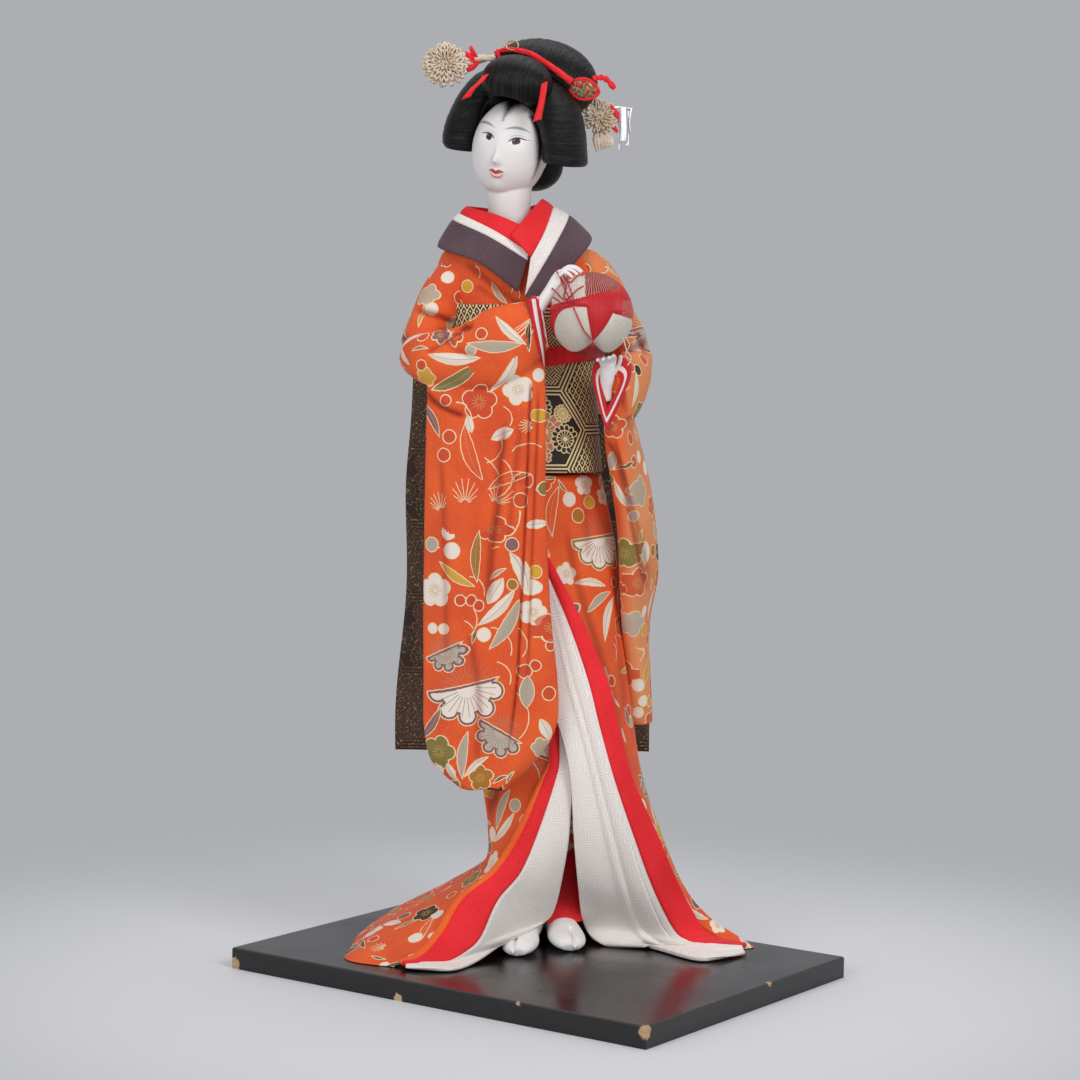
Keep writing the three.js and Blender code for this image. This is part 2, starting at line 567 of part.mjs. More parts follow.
// A wing's level sections, from its top beside the front roll to its flat foot: centre and half sizes
const WINGS = {
  right: [
    [-14, 8, 42, 8, 9], [-20, 7, 38, 11, 15], [-25, 6, 25, 12.6, 20], [-28.4, 6, 14, 12, 20],
    [-29.6, 6, 4, 11.2, 19], [-28.6, 6, -2, 10.4, 18.4], [-27.5, 6, -4.6, 8.8, 17],
  ],
  left: [
    [12, 8, 42, 7, 9], [17, 7, 38, 10, 15], [26, 6, 25, 13.2, 20], [30, 6, 14, 12.2, 20],
    [32, 6, 4, 11.2, 19], [32, 6, -1, 11, 18.5], [31.6, 6, -3.2, 10, 17],
  ],
};
const wing = (sections) =>
  skin(sections.map(([x, y, z, halfX, halfY]) => oval([x, y, z], halfX, halfY, 14)));
// The opening for the face is a rounded box
const OPENING = { at: [1.5, -17, -3.5], radii: [20.2, 24, 32], power: 2.6 };
function squared(d) {
  const k = d.reduce((sum, v) => sum + Math.abs(v) ** OPENING.power, 0) ** (-1 / OPENING.power);
  return mul(d, k);
}
function wig() {
  const balls = Object.values(WIG).map(({ at, radii }) => ball(at, radii, { sides: 14, rows: 8 }));
  const hair = [...balls, wing(WINGS.right), wing(WINGS.left)].map((shape) => solid(onHead(shape)));
  const opening = ball(OPENING.at, OPENING.radii, { sides: 14, rows: 8, push: squared });
  return cut(join(...hair), solid(onHead(opening)));
}

// Hair ornaments, in the figure's frame
function flower({ at, radius, depth, petals, facing }) {
  const rings = [[0.18, 1], [1, 0.5], [1, -0.5], [0.18, -1]].map(([share, height]) =>
    steps(petals * 2).slice(0, petals * 2).map((s, i) => {
      const a = s * 2 * Math.PI;
      const reach = radius * share * (share > 0.5 && i % 2 ? 0.86 : 1);
      return [Math.cos(a) * reach, Math.sin(a) * reach, (depth / 2) * height];
    }));
  const [tip, swing] = facing.map(rad);
  return solid(skin(rings).rotateX(tip).rotateY(swing).translate(...at));
}
const FLOWER_RIGHT = { at: [-56, 2, 492], radius: 12.6, depth: 7, petals: 10, facing: [72, -14] };
const FLOWER_LEFT = { at: [28, 30, 468.5], radius: 10.5, depth: 7, petals: 10, facing: [70, 34] };
const PIN_STEM = [[-47, 6, 494, 3.6, 3.6], [-40, 10, 497, 2.6, 2.6], [-31, 16, 499, 1.4, 1.4]];
const TASSEL = [[31, 32, 463, 5, 4], [31, 32, 455, 7, 4.4], [31, 32, 449, 5, 3]];
const pinStem = () => limb(PIN_STEM, { sides: 6, count: 3 });
const tassel = () => limb(TASSEL, { sides: 8, count: 3, up: [0, 1, 0] });
const STRIPS = { count: 4, pitch: 1.9, width: 2.2, thickness: 0.8, length: 22, from: [38, 35, 474] };
const STRIP_WIRE = [[33, 33, 472, 2, 2], [38, 35, 474, 1.6, 1.6], [46, 35.6, 473.4, 1, 1]];
const silverStrips = () => join(
  ...steps(STRIPS.count - 1).map((_, i) => {
    const [x, y, z] = add(STRIPS.from, [i * STRIPS.pitch, (i % 2) * 1.1, 0]);
    const length = STRIPS.length + (i % 3) * 2;
    return panel((u, v) => [x + (u - 0.5) * STRIPS.width, y, z - v * length], 1, 1, STRIPS.thickness);
  }),
  limb(STRIP_WIRE, { sides: 6, count: 3 }),
);

// The red ribbon round the topknot and its bow end, and the two short ribbons at the temples
const TOPKNOT_RIBBON = [
  [-33, 32, 499.5, 1.4, 2.4], [-26, 27, 502.5, 1.6, 2.6], [-12, 23, 502.7, 1.8, 3], [1, 19.5, 496.5, 2, 3.2],
  [10, 22, 488.5, 3, 4.6], [18, 26, 484, 3.6, 8], [26, 30, 483.6, 3, 6], [31, 31, 484.4, 1.6, 3],
  [37, 32, 482.6, 1.4, 2.4],
];
const topknotRibbon = () => limb(TOPKNOT_RIBBON, { sides: 6, count: 16 });
const TEMPLE_RIBBON = { width: 4.4, slant: 1.4, thickness: 1.2 };
const templeRibbon = (path) =>
  panel((u, v) => {
    const side = u - 0.5;
    return add(along(path, v), [side * (TEMPLE_RIBBON.width + v), 0, side * TEMPLE_RIBBON.slant]);
  }, 1, 6, TEMPLE_RIBBON.thickness);
const TEMPLE = {
  right: [[-35, -6, 487], [-38, -9, 483], [-42, -11, 479], [-45.5, -11, 474]],
  left: [[-3, -9, 483], [-3.6, -13, 477], [-5, -15, 469], [-6.6, -15, 462]],
};

// The board, with a fine bevel round its top edge
function board() {
  const ring = (z, inset) => {
    const [x, y] = [BOARD.width / 2 - inset, BOARD.depth / 2 - inset];
    return [[x, y, z], [-x, y, z], [-x, -y, z], [x, -y, z]];
  };
  return loft([ring(0, 0), ring(BOARD.thickness - BOARD.bevel, 0), ring(BOARD.thickness, BOARD.bevel)]);
}

// A copy of a solid whose surface is moved outwards, used to cut its neighbours clear of it
const SHARPEST = 0.3; // limits how far a very sharp edge is moved
function swell(shape, amount) {
  const { vertProperties: v, triVerts: t } = shape.getMesh();
  const point = (i) => [v[3 * i], v[3 * i + 1], v[3 * i + 2]];
  const faces = [];
  const sums = Array.from({ length: v.length / 3 }, () => [0, 0, 0]);
  for (let i = 0; i < t.length; i += 3) {
    const corners = [t[i], t[i + 1], t[i + 2]];
    const [a, b, c] = corners.map(point);
    const normal = unit(cross(sub(b, a), sub(c, a)));
    faces.push([corners, normal]);
    corners.forEach((k, n) => {
      const [p, q, r] = [corners[n], corners[(n + 1) % 3], corners[(n + 2) % 3]].map(point);
      const [e, f] = [unit(sub(q, p)), unit(sub(r, p))];
      const angle = Math.acos(THREE.MathUtils.clamp(dot(e, f), -1, 1));
      sums[k] = add(sums[k], mul(normal, angle));
    });
  }
  const normals = sums.map(unit);
  const least = normals.map(() => 1);
  for (const [corners, n] of faces)
    for (const k of corners) least[k] = Math.min(least[k], dot(n, normals[k]));
  const moved = normals.flatMap((n, k) => add(point(k), mul(n, amount / Math.max(SHARPEST, least[k]))));
  const vertProperties = Float32Array.from(moved);
  return new wasm.Manifold(new wasm.Mesh({ numProp: 3, vertProperties, triVerts: t }));
}

// Pieces in order of precedence: each is cut clear of all the pieces placed before it
const placed = [];
function place(name, colour, roughness, shape, gap = GAP) {
  const near = placed.filter((other) => other.cutter.intersect(shape).volume() > 0);
  const clear = main(cut(shape, ...near.map((other) => other.cutter)));
  placed.push({ name, colour, roughness, shape: clear, cutter: swell(clear, gap) });
}

const CLOTHES = { orange: 0xe0481a, red: 0xc4141e, white: 0xe4ddd8, plum: 0x54464c };
const GROUND = { depth: 60, reach: 280 };
const groundRing = (z) => oval([0, 0, z], GROUND.reach, GROUND.reach, 8);
const ground = loft([groundRing(-GROUND.depth), groundRing(GAP)]);
const onGround = (shape) => cut(shape, ground);

const threadBall = ball(BALL.at, Array(3).fill(BALL.radius), { sides: 18, rows: 12 });
place("thread_ball", 0xb03a44, 0.7, solid(threadBall));
place("hand_right", 0xf2efec, 0.5, hand(RIGHT_HAND));
place("hand_left", 0xf2efec, 0.5, hand(LEFT_HAND));
place("cuff_right", CLOTHES.red, 0.85, cuff(CUFF_RIGHT));
place("cuff_left", CLOTHES.red, 0.85, cuff(CUFF_LEFT));

place("head", 0xf3f1ef, 0.5, head());
place("flower_pin_right", 0xc9b48e, 0.8, join(flower(FLOWER_RIGHT), pinStem()));
place("flower_pin_left", 0xc9b48e, 0.8, join(flower(FLOWER_LEFT), tassel()));
place("silver_strips", 0xc8c8cc, 0.3, silverStrips());
place("topknot_ribbon", CLOTHES.red, 0.8, topknotRibbon());
place("temple_ribbon_right", CLOTHES.red, 0.8, templeRibbon(TEMPLE.right));
place("temple_ribbon_left", CLOTHES.red, 0.8, templeRibbon(TEMPLE.left));
place("wig", 0x14110f, 0.45, wig());

place("foot_right", 0xeae8e6, 0.8, onGround(foot(RIGHT_FOOT.heel, RIGHT_FOOT.heading)));
place("foot_left", 0xeae8e6, 0.8, onGround(foot(LEFT_FOOT.heel, LEFT_FOOT.heading)));
place("underskirt", CLOTHES.red, 0.85, underskirt());
place("under_robe_left", CLOTHES.white, 0.8, onGround(whiteLeft()), 2 * GAP);
place("under_robe_right", CLOTHES.white, 0.8, onGround(whiteRight()), 2 * GAP);
place("lining_left", CLOTHES.red, 0.85, onGround(redLeft()), 2 * GAP);
place("lining_right", CLOTHES.red, 0.85, onGround(redRight()), 2 * GAP);

place("collar_purple", CLOTHES.plum, 0.8, collarBand(COLLAR.white, COLLAR.purple, 1.8));
place("collar_white", CLOTHES.white, 0.8, collarBand(COLLAR.red, COLLAR.white, 1.6));
place("collar_red", CLOTHES.red, 0.85, collarBand(COLLAR.neck, COLLAR.red, 1.5));
place("sleeve_right", CLOTHES.orange, 0.85, sleeveRight());
place("sleeve_left", CLOTHES.orange, 0.85, sleeveLeft());
const underSash = obiBand(OBI.bottom - 2, OBI.top + 2, OBI.wall + GAP);
place("obi_cord", CLOTHES.red, 0.85, cut(redSash(), underSash));
place("obi", 0x3a3024, 0.6, cut(obiBand(OBI.bottom, OBI.top, OBI.wall), bodice()));
place("obi_knot", 0x3a3024, 0.6, knot());
place("obi_tail_right", 0x3a3024, 0.6, tail(TAIL_RIGHT));
place("obi_tail_left", 0x3a3024, 0.6, tail(TAIL_LEFT));
place("kimono_bodice", CLOTHES.orange, 0.85, bodice());
place("kimono_skirt", CLOTHES.orange, 0.85, onGround(skirt()));

const group = new THREE.Group();
const figure = new THREE.Group();
figure.rotation.z = FIGURE_TURN;
figure.position.z = BOARD.thickness;
group.add(figure);
function mesh(name, colour, roughness, shape) {
  const { vertProperties, triVerts } = shape.getMesh();
  const geometry = new THREE.BufferGeometry();
  geometry.setAttribute("position", new THREE.BufferAttribute(Float32Array.from(vertProperties), 3));
  geometry.setIndex(new THREE.BufferAttribute(triVerts, 1));
  const made = new THREE.Mesh(geometry, new THREE.MeshStandardMaterial({ color: colour, roughness }));
  made.name = name;
  return made;
}
group.add(mesh("board", 0x141212, 0.25, board()));
for (const piece of placed) figure.add(mesh(piece.name, piece.colour, piece.roughness, piece.shape));

export default group;
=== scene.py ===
# A costume doll on a lacquered board: a lady in a long-sleeved trailing kimono who holds a thread ball.
# The doll's own measures are in millimetres, in a frame of its own: x to its left hand, -y to its front,
# z up from the board's top. to_row() turns them into the part's frame, in metres.
import math

import bmesh
import bpy
import numpy as np
from mathutils import Matrix, Vector
from mathutils.bvhtree import BVHTree


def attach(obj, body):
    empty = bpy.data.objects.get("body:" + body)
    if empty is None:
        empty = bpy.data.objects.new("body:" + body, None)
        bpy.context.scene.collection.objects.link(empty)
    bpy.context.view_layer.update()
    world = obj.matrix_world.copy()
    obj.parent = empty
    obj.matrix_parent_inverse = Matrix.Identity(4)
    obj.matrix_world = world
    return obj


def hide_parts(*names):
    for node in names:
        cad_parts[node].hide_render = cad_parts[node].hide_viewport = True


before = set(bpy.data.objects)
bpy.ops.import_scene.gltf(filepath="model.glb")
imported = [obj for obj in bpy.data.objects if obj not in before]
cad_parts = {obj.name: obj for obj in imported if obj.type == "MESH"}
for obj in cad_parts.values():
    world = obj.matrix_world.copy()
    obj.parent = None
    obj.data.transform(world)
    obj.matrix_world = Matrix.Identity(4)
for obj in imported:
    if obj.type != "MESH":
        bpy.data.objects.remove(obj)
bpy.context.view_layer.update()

# Driving dimensions
MM = 0.001
TURN = math.radians(36)
BOARD_TOP = 12
CLOTH = 2.4
WELD = 0.02
HEAD = {"at": (-21.5, 18, 449), "yaw": -22, "roll": -10, "nod": 7, "size": (42, 44, 54)}
BALL = {"at": (24, -37, 357), "radius": 22.5}
OBI = {"bottom": 270, "top": 362, "wall": 3.2}
TAIL = {"width": 92, "thickness": 3, "top": 344, "bottom": 104}
CAMERA = {"at": (0.8776, -1.2128, 0.3541), "azimuth": 35.966, "elevation": 4.201, "roll": 0.772, "lens": 90}


def to_row(points):
    """The figure's millimetres as the part's metres."""
    x, y, z = np.moveaxis(np.asarray(points, float), -1, 0)
    c, s = math.cos(TURN), math.sin(TURN)
    return np.stack([x * c - y * s, x * s + y * c, z + BOARD_TOP], -1) * MM


def to_figure(points):
    """The part's metres as the figure's millimetres."""
    x, y, z = np.moveaxis(np.asarray(points, float) / MM, -1, 0)
    c, s = math.cos(TURN), math.sin(TURN)
    return np.stack([x * c + y * s, -x * s + y * c, z - BOARD_TOP], -1)


HEAD_FRAME = (
    Matrix.Translation(HEAD["at"])
    @ Matrix.Rotation(math.radians(HEAD["yaw"]), 4, "Z")
    @ Matrix.Rotation(math.radians(-HEAD["roll"]), 4, "Y")
    @ Matrix.Rotation(math.radians(HEAD["nod"]), 4, "X")
)


def on_head(points):
    """Points of the head's own frame, x to its left and -y ahead, in the figure's frame."""
    m = np.array(HEAD_FRAME)
    return np.asarray(points, float) @ m[:3, :3].T + m[:3, 3]


def off_head(points):
    """Points of the figure's frame in the head's own frame."""
    m = np.array(HEAD_FRAME.inverted())
    return np.asarray(points, float) @ m[:3, :3].T + m[:3, 3]


def turned(direction):
    """A direction of the figure's frame in the part's frame."""
    return (to_row(direction) - to_row([0, 0, 0])) / MM


# Curves and surfaces, as grids of points


def along(points, t):
    """A smooth curve through points, read at every t from 0 to 1."""
    p = np.asarray(points, float)
    n = len(p) - 1
    s = np.clip(np.asarray(t, float), 0, 1) * n
    i = np.minimum(s.astype(int), n - 1)
    f = (s - i)[..., None]
    a, b, c, d = (p[np.clip(i + k, 0, n)] for k in (-1, 0, 1, 2))
    return 0.5 * (2 * b + (c - a) * f + (2 * a - 5 * b + 4 * c - d) * f**2 + (3 * b - a - 3 * c + d) * f**3)


def unit(v):
    return v / np.maximum(np.linalg.norm(v, axis=-1, keepdims=True), 1e-9)


def smooth(x, low=0.0, high=1.0):
    """0 below low, 1 above high, and a soft step between."""
    t = np.clip((np.asarray(x, float) - low) / (high - low), 0, 1)
    return t * t * (3 - 2 * t)


def bump(x, centre, width):
    return np.exp(-(((np.asarray(x, float) - centre) / width) ** 2))


def rumple(points, size, seed, waves=7):
    """Soft irregular waves of about that size, from -1 to 1."""
    rng = np.random.default_rng(seed)
    total = 0
    for _ in range(waves):
        way = unit(rng.normal(size=np.shape(points)[-1]))
        total = total + np.sin(points @ way * (2 * math.pi / size) * rng.uniform(0.6, 1.5)
                               + rng.uniform(0, 6.28))
    return total / math.sqrt(waves) / 1.6


def share(count):
    return np.linspace(0, 1, count + 1)


def field(count_u, count_v):
    """Two tables with u and v from 0 to 1 over a grid."""
    return np.meshgrid(share(count_u), share(count_v), indexing="ij")


def facing(p):
    """The normals of a grid of points."""
    return unit(np.cross(np.gradient(p, axis=0), np.gradient(p, axis=1)))


def lengths(p, axis):
    """How far along its lines a grid's points are, in mm: a flat layout of the cloth."""
    step = np.linalg.norm(np.diff(p, axis=axis), axis=-1)
    return np.concatenate([np.zeros_like(np.take(step, [0], axis)), np.cumsum(step, axis)], axis)


def panel(p, thickness, chart=None):
    """The front, the back and the rounded rim of a cloth sheet whose middle is the grid p."""
    if chart is None:
        chart = np.stack([lengths(p, 0), lengths(p, 1)], -1)
    n = facing(p)
    rows, columns = (np.minimum(np.arange(k), np.arange(k)[::-1]) for k in p.shape[:2])
    rim = np.minimum(rows[:, None], columns[None, :])
    half = thickness / 2 * np.select([rim == 0, rim == 1], [0.4, 0.8], 1.0)[..., None]
    front, back = p + n * half, p - n * half
    behind = chart + [1000, 0]
    patches = [(front, chart), (back, behind)]
    for pick in (np.s_[0], np.s_[-1], np.s_[:, 0], np.s_[:, -1]):
        patches.append((np.stack([front[pick], back[pick]]), np.stack([chart[pick]] * 2)))
    return patches


def closed(rings):
    """A closed body skinned over rings, whose first and last points meet, with a cap at each end."""
    chart = np.stack([lengths(rings, 1), np.repeat(lengths(rings, 0)[:, :1], rings.shape[1], 1)], -1)
    patches = [(rings, chart)]
    for end in (0, -1):
        hub = np.broadcast_to(rings[end, :-1].mean(0), rings[end].shape)
        patches.append((np.stack([rings[end], hub]), np.stack([chart[end]] * 2)))
    return patches


def oval(centre, half_x, half_y, sides, power=1.0, turn=0.0):
    """Ellipse rings in the horizontal plane, one for each centre; power above 1 squares them."""
    a = share(sides)[None, :] * 2 * math.pi
    c = np.sign(np.cos(a)) * np.abs(np.cos(a)) ** (1 / power) * np.asarray(half_x)[:, None]
    s = np.sign(np.sin(a)) * np.abs(np.sin(a)) ** (1 / power) * np.asarray(half_y)[:, None]
    turn = np.broadcast_to(turn, np.shape(half_x))[:, None]
    x, y, z = (centre[:, k][:, None] for k in range(3))
    return np.stack([x + c * np.cos(turn) - s * np.sin(turn), y + c * np.sin(turn) + s * np.cos(turn),
                     z + 0 * c], -1)


def limb(stations, sides=24, count=24, up=(0, 0, 1), swell=None):
    """Rings round a smooth path; each station is x, y, z, half across and half upright."""
    t = share(count)
    path = along(stations, t)
    ahead = unit(along(stations, t + 1e-3)[:, :3] - along(stations, t - 1e-3)[:, :3])
    side = unit(np.cross(ahead, up))
    lift = np.cross(side, ahead)
    a = (share(sides) * 2 * math.pi)[None, :, None]
    size = 1 if swell is None else swell(t[:, None], share(sides)[None, :])[..., None]
    reach = np.cos(a) * side[:, None] * path[:, None, 3:4] + np.sin(a) * lift[:, None] * path[:, None, 4:5]
    return path[:, None, :3] + reach * size


def ball(centre, radii, sides=48, rows=32, push=None):
    """A ball as rings from its lower to its upper pole, with an optional push on the unit sphere."""
    a, b = field(sides, rows)
    a, b = a.T * 2 * math.pi, (b.T - 0.5) * math.pi
    d = np.stack([np.cos(b) * np.cos(a), np.cos(b) * np.sin(a), np.sin(b)], -1)
    return np.asarray(centre) + (push(d) if push else d) * np.asarray(radii)


def plain(points):
    """A patch with no flat layout of its own."""
    return [(points, np.zeros((*points.shape[:2], 2)))]


def shell(name, patches, place=to_row):
    """A mesh object of patches, welded where they meet, facing outwards, with its flat layout as a UV map."""
    vertices, faces, corners = [], [], []
    start = 0
    for points, chart in patches:
        rows, columns = points.shape[:2]
        number = np.arange(rows * columns).reshape(rows, columns) + start
        start += rows * columns
        around = [np.s_[:-1, :-1], np.s_[1:, :-1], np.s_[1:, 1:], np.s_[:-1, 1:]]
        vertices.append(points.reshape(-1, 3))
        faces.append(np.stack([number[k] for k in around], -1).reshape(-1, 4))
        corners.append(np.stack([chart[k] for k in around], -2).reshape(-1, 2))
    mesh = bpy.data.meshes.new(name)
    mesh.from_pydata(place(np.concatenate(vertices)).tolist(), [], np.concatenate(faces).tolist())
    mesh.uv_layers.new(name="cloth").data.foreach_set("uv", (np.concatenate(corners) * MM).ravel())
    work = bmesh.new()
    work.from_mesh(mesh)
    bmesh.ops.remove_doubles(work, verts=work.verts, dist=WELD * MM)
    bmesh.ops.dissolve_degenerate(work, edges=work.edges, dist=1e-7)
    bmesh.ops.recalc_face_normals(work, faces=work.faces)
    work.to_mesh(mesh)
    work.free()
    mesh.shade_smooth()
    made = bpy.data.objects.new(name, mesh)
    bpy.context.scene.collection.objects.link(made)
    return made


def places(made):
    """An object's vertices in the figure's frame."""
    co = np.empty(len(made.data.vertices) * 3)
    made.data.vertices.foreach_get("co", co)
    return to_figure(co.reshape(-1, 3))


def normals(made):
    """An object's vertex normals in the figure's frame."""
    no = np.array([v.vector for v in made.data.vertex_normals], float)
    return to_figure(no * MM) + [0, 0, BOARD_TOP]


def move(made, points):
    made.data.vertices.foreach_set("co", to_row(points).ravel())
    made.data.update()


def applied(made):
    """The object with its modifiers worked into its mesh."""
    bpy.context.view_layer.update()
    flat = bpy.data.meshes.new_from_object(made.evaluated_get(bpy.context.evaluated_depsgraph_get()))
    made.modifiers.clear()
    made.data = flat
    made.data.name = made.name
    made.data.shade_smooth()
    return made


def joined(name, parts):
    """Several mesh objects as one."""
    with bpy.context.temp_override(active_object=parts[0], selected_editable_objects=parts):
        bpy.ops.object.join()
    parts[0].name = parts[0].data.name = name
    return parts[0]


def grown(name, bodies, voxel, rounds):
    """Several closed bodies grown into one skin, and smoothed."""
    made = shell(name, [patch for body in bodies for patch in body])
    made.data.remesh_voxel_size = voxel * MM
    remesh = made.modifiers.new("skin", "REMESH")
    remesh.mode = "VOXEL"
    remesh.voxel_size = voxel * MM
    even = made.modifiers.new("even", "SMOOTH")
    even.factor, even.iterations = 0.5, rounds
    return applied(made)


def lay_flat(made):
    """Lays an upright piece's cloth out flat as seen from the front, and its back beside it."""
    mesh = made.data
    p = places(made)
    back = normals(made)[:, 1] > 0
    loops = np.empty(len(mesh.loops), int)
    mesh.loops.foreach_get("vertex_index", loops)
    chart = p[:, [0, 2]].copy()
    ends = np.empty(len(mesh.polygons), int)
    mesh.polygons.foreach_get("loop_total", ends)
    starts = np.concatenate([[0], np.cumsum(ends)[:-1]])
    face_back = np.add.reduceat(back[loops].astype(int), starts) * 2 > ends
    corner = chart[loops]
    corner[np.repeat(face_back, ends)] += [500, 0]
    layer = mesh.uv_layers.get("cloth") or mesh.uv_layers.new(name="cloth")
    layer.data.foreach_set("uv", (corner * MM).ravel())
    return made


def nearest_on(path, p):
    """For points, the distance to a path in the x-z plane, its side and how far along they are."""
    line = along(path, share(60))
    q = np.stack([p[:, 0], p[:, 2]], -1)
    k = np.linalg.norm(q[:, None] - line[None], axis=-1).argmin(1)
    ahead = unit(np.gradient(line, axis=0))[k]
    offset = q - line[k]
    side = ahead[:, 0] * offset[:, 1] - ahead[:, 1] * offset[:, 0]
    on = np.sum(offset * ahead, -1)
    beyond = np.where((k == 0) | (k == 60), on, 0)
    return np.hypot(side, beyond), side, k / 60


def seen_on(made):
    """Gives a function that finds where the camera's ray through a point of the figure meets a piece."""
    eye = to_figure(CAMERA["at"])
    tree = BVHTree.FromPolygons(places(made).tolist(), [list(face.vertices) for face in made.data.polygons])

    def look(point, out=0.0):
        ray = unit(np.asarray(point, float) - eye)
        hit, normal, *_ = tree.ray_cast(eye.tolist(), ray.tolist())
        if hit is None:
            hit, normal, *_ = tree.find_nearest(list(point))
        return np.array(hit) + np.array(normal) * out

    return look


def crease(made, path, depth, width, step=0.0):
    """Presses a fold into a piece's front along a path of x and z. A step lifts the cloth on the path's left.

    How deep in a fold every point lies is kept on the mesh, for the painted shade that the cloth's material
    puts in the folds."""
    p, n = places(made), normals(made)
    away, side, t = nearest_on(path, p)
    ends = smooth(t, 0, 0.15) * (1 - smooth(t, 0.85, 1))
    shown = smooth(-n[:, 1], 0.1, 0.5)
    lift = -depth * np.exp(-((away / width) ** 2))
    lift += step * smooth(side, -0.3 * width, 0.3 * width) * np.exp(-((away / (3 * width)) ** 2))
    move(made, p + n * (lift * ends * shown)[:, None])
    known = made.data.attributes.get("folded")
    if known is None:
        known = made.data.attributes.new("folded", "FLOAT", "POINT")
    # the fold depth kept here is what the cloth's material darkens as painted shade
    deep = np.empty(len(p))
    known.data.foreach_get("value", deep)
    deep += max(depth, 0) / 2.2 * np.exp(-((away / (0.75 * width)) ** 2)) * ends * shown
    known.data.foreach_set("value", np.minimum(deep, 1))
    return made


# Materials


def colour(code):
    """An sRGB hex colour as linear RGBA."""
    parts = [int(code[i : i + 2], 16) / 255 for i in (1, 3, 5)]
    return [*(c / 12.92 if c <= 0.04045 else ((c + 0.055) / 1.055) ** 2.4 for c in parts), 1]


def adder(tree, family):
    """The one function that adds nodes to a tree; family is the first part of their type names."""

    def put(kind, *inputs, out=0, named=None, stops=None, **settings):
        """Adds a node with its settings, feeds the inputs it shows in order, and gives an output it shows.

        A second word in kind is its operation or data type. None leaves an input alone, and a hex code is
        given as its colour. Stops are the places and colours of a colour ramp, which changes in steps."""
        kind, _, mode = kind.partition(" ")
        node = tree.nodes.new(family + kind)
        if mode:
            settings["data_type" if kind == "Mix" else "operation"] = mode
        for key, value in settings.items():
            setattr(node, key, value)
        if stops:
            ramp = node.color_ramp
            ramp.interpolation = "CONSTANT"
            ramp.elements[0].position, ramp.elements[1].position = stops[0][0], stops[-1][0]
            for place, _ in stops[1:-1]:
                ramp.elements.new(place)
            for element, (_, code) in zip(ramp.elements, stops):
                element.color = colour(code)
        shown = [socket for socket in node.inputs if socket.enabled]
        fed = [*zip(shown, inputs), *((node.inputs[key], value) for key, value in (named or {}).items())]
        for socket, value in fed:
            if isinstance(value, bpy.types.NodeSocket):
                tree.links.new(value, socket)
            elif value is not None:
                socket.default_value = colour(value) if isinstance(value, str) else value
        if not node.outputs:
            return node
        return node.outputs[out] if isinstance(out, str) else [k for k in node.outputs if k.enabled][out]

    return put


def material(name):
    """A new node material, and the one function that adds its nodes."""
    made = bpy.data.materials.new(name)
    made.use_nodes = True
    made.node_tree.nodes.clear()
    return made, adder(made.node_tree, "ShaderNode")


def finish(put, base, roughness, height=None, strength=0.3, relief=0.2, **sockets):
    """The principled shader, with a bump from height; relief is the bump's real depth in mm."""
    named = {"Base Color": base, "Roughness": roughness}
    if height is not None:
        named["Normal"] = put("Bump", strength, relief * MM, None, height)
    named.update({key.replace("_", " "): value for key, value in sockets.items()})
    put("OutputMaterial", put("BsdfPrincipled", named=named))


# A noise's inputs after its place are its scale, its detail and its roughness


def silk_crepe(name, bright, deep, sheen=0.06):
    """Matte silk crepe, whose hard-twisted weft leaves a fine pebble of about 0.7 mm and a soft sheen."""
    made, put = material(name)
    at = put("TexCoord", out="Object")
    pebble = put("TexNoise", at, 1 / (0.7 * MM), 2.0)
    cloud = put("TexNoise", at, 1 / (30 * MM), 3.0)
    tone = put("Math ADD", pebble, cloud)
    mixed = put("MapRange", tone, 0.75, 1.25, 0.0, 1.0)
    base = put("Mix RGBA", mixed, deep, bright)
    finish(put, base, 0.78, pebble, 0.4, 0.25, Sheen_Weight=sheen, Sheen_Roughness=0.4)
    return made


# The colours of the kimono's printed plants, in the order of their code
TINTS = {
    "white": "#efe4d8", "grey": "#b5a997", "olive": "#7d7637", "gold": "#d9a52c", "black": "#1e1815",
    "rust": "#cf4524", "brown": "#a9701f", "mauve": "#875d63", "speck": "#bcb2a4", "cream": "#f0dfc4",
}
# Kinds of plant: the family that draws it, its lobes or breadth, its core or bend, and its style
KINDS = {
    "plum": ("bloom", 5, 0.56, 0), "drawn_plum": ("bloom", 5, 0.56, 1), "bud": ("bloom", 1, 0, 0),
    "ring": ("bloom", 1, 0, 1), "fan": ("bloom", 9, 0.74, 2), "needles": ("bloom", 1, 0, 3),
    "arc": ("bloom", 1, 0, 4),
    "leaf": ("leaf", 0.21, 0.12, 0), "drawn_leaf": ("leaf", 0.24, 0.2, 1), "bud_leaf": ("leaf", 0.46, 0, 0),
}
SLOTS = ("bloom0", "bloom1", "leaf0", "leaf1")
GOLD_LINE = "#f2dcae"


def print_frame(put, slot):
    """A printed plant's own x and y and its size in mm, and its four describing numbers."""
    at = put("SeparateXYZ", put("Attribute", out="Vector", attribute_name=slot + "_at")).node.outputs
    kind = put("Attribute", attribute_name=slot + "_as")
    numbers = put("SeparateXYZ", kind).node.outputs
    tint = put("ValToRGB", numbers[2], stops=[(i / 10, code) for i, code in enumerate(TINTS.values())])
    return at[0], at[1], at[2], numbers[0], numbers[1], tint, numbers[2], kind.node.outputs["Alpha"]


def rays(put, angle, reach, count, width, low, high):
    """Fine lines from the middle, where the reach is between low and high."""
    half = put("Math DIVIDE", math.pi, count)
    wrapped = put("Math WRAP", angle, half, put("Math MULTIPLY", half, -1.0))
    off = put("Math ABSOLUTE", put("Math MULTIPLY", put("Math SINE", wrapped), reach))
    line = put("Math LESS_THAN", off, width)
    inner = put("Math GREATER_THAN", reach, low)
    outer = put("Math LESS_THAN", reach, high)
    return put("Math MULTIPLY", put("Math MULTIPLY", line, inner), outer)


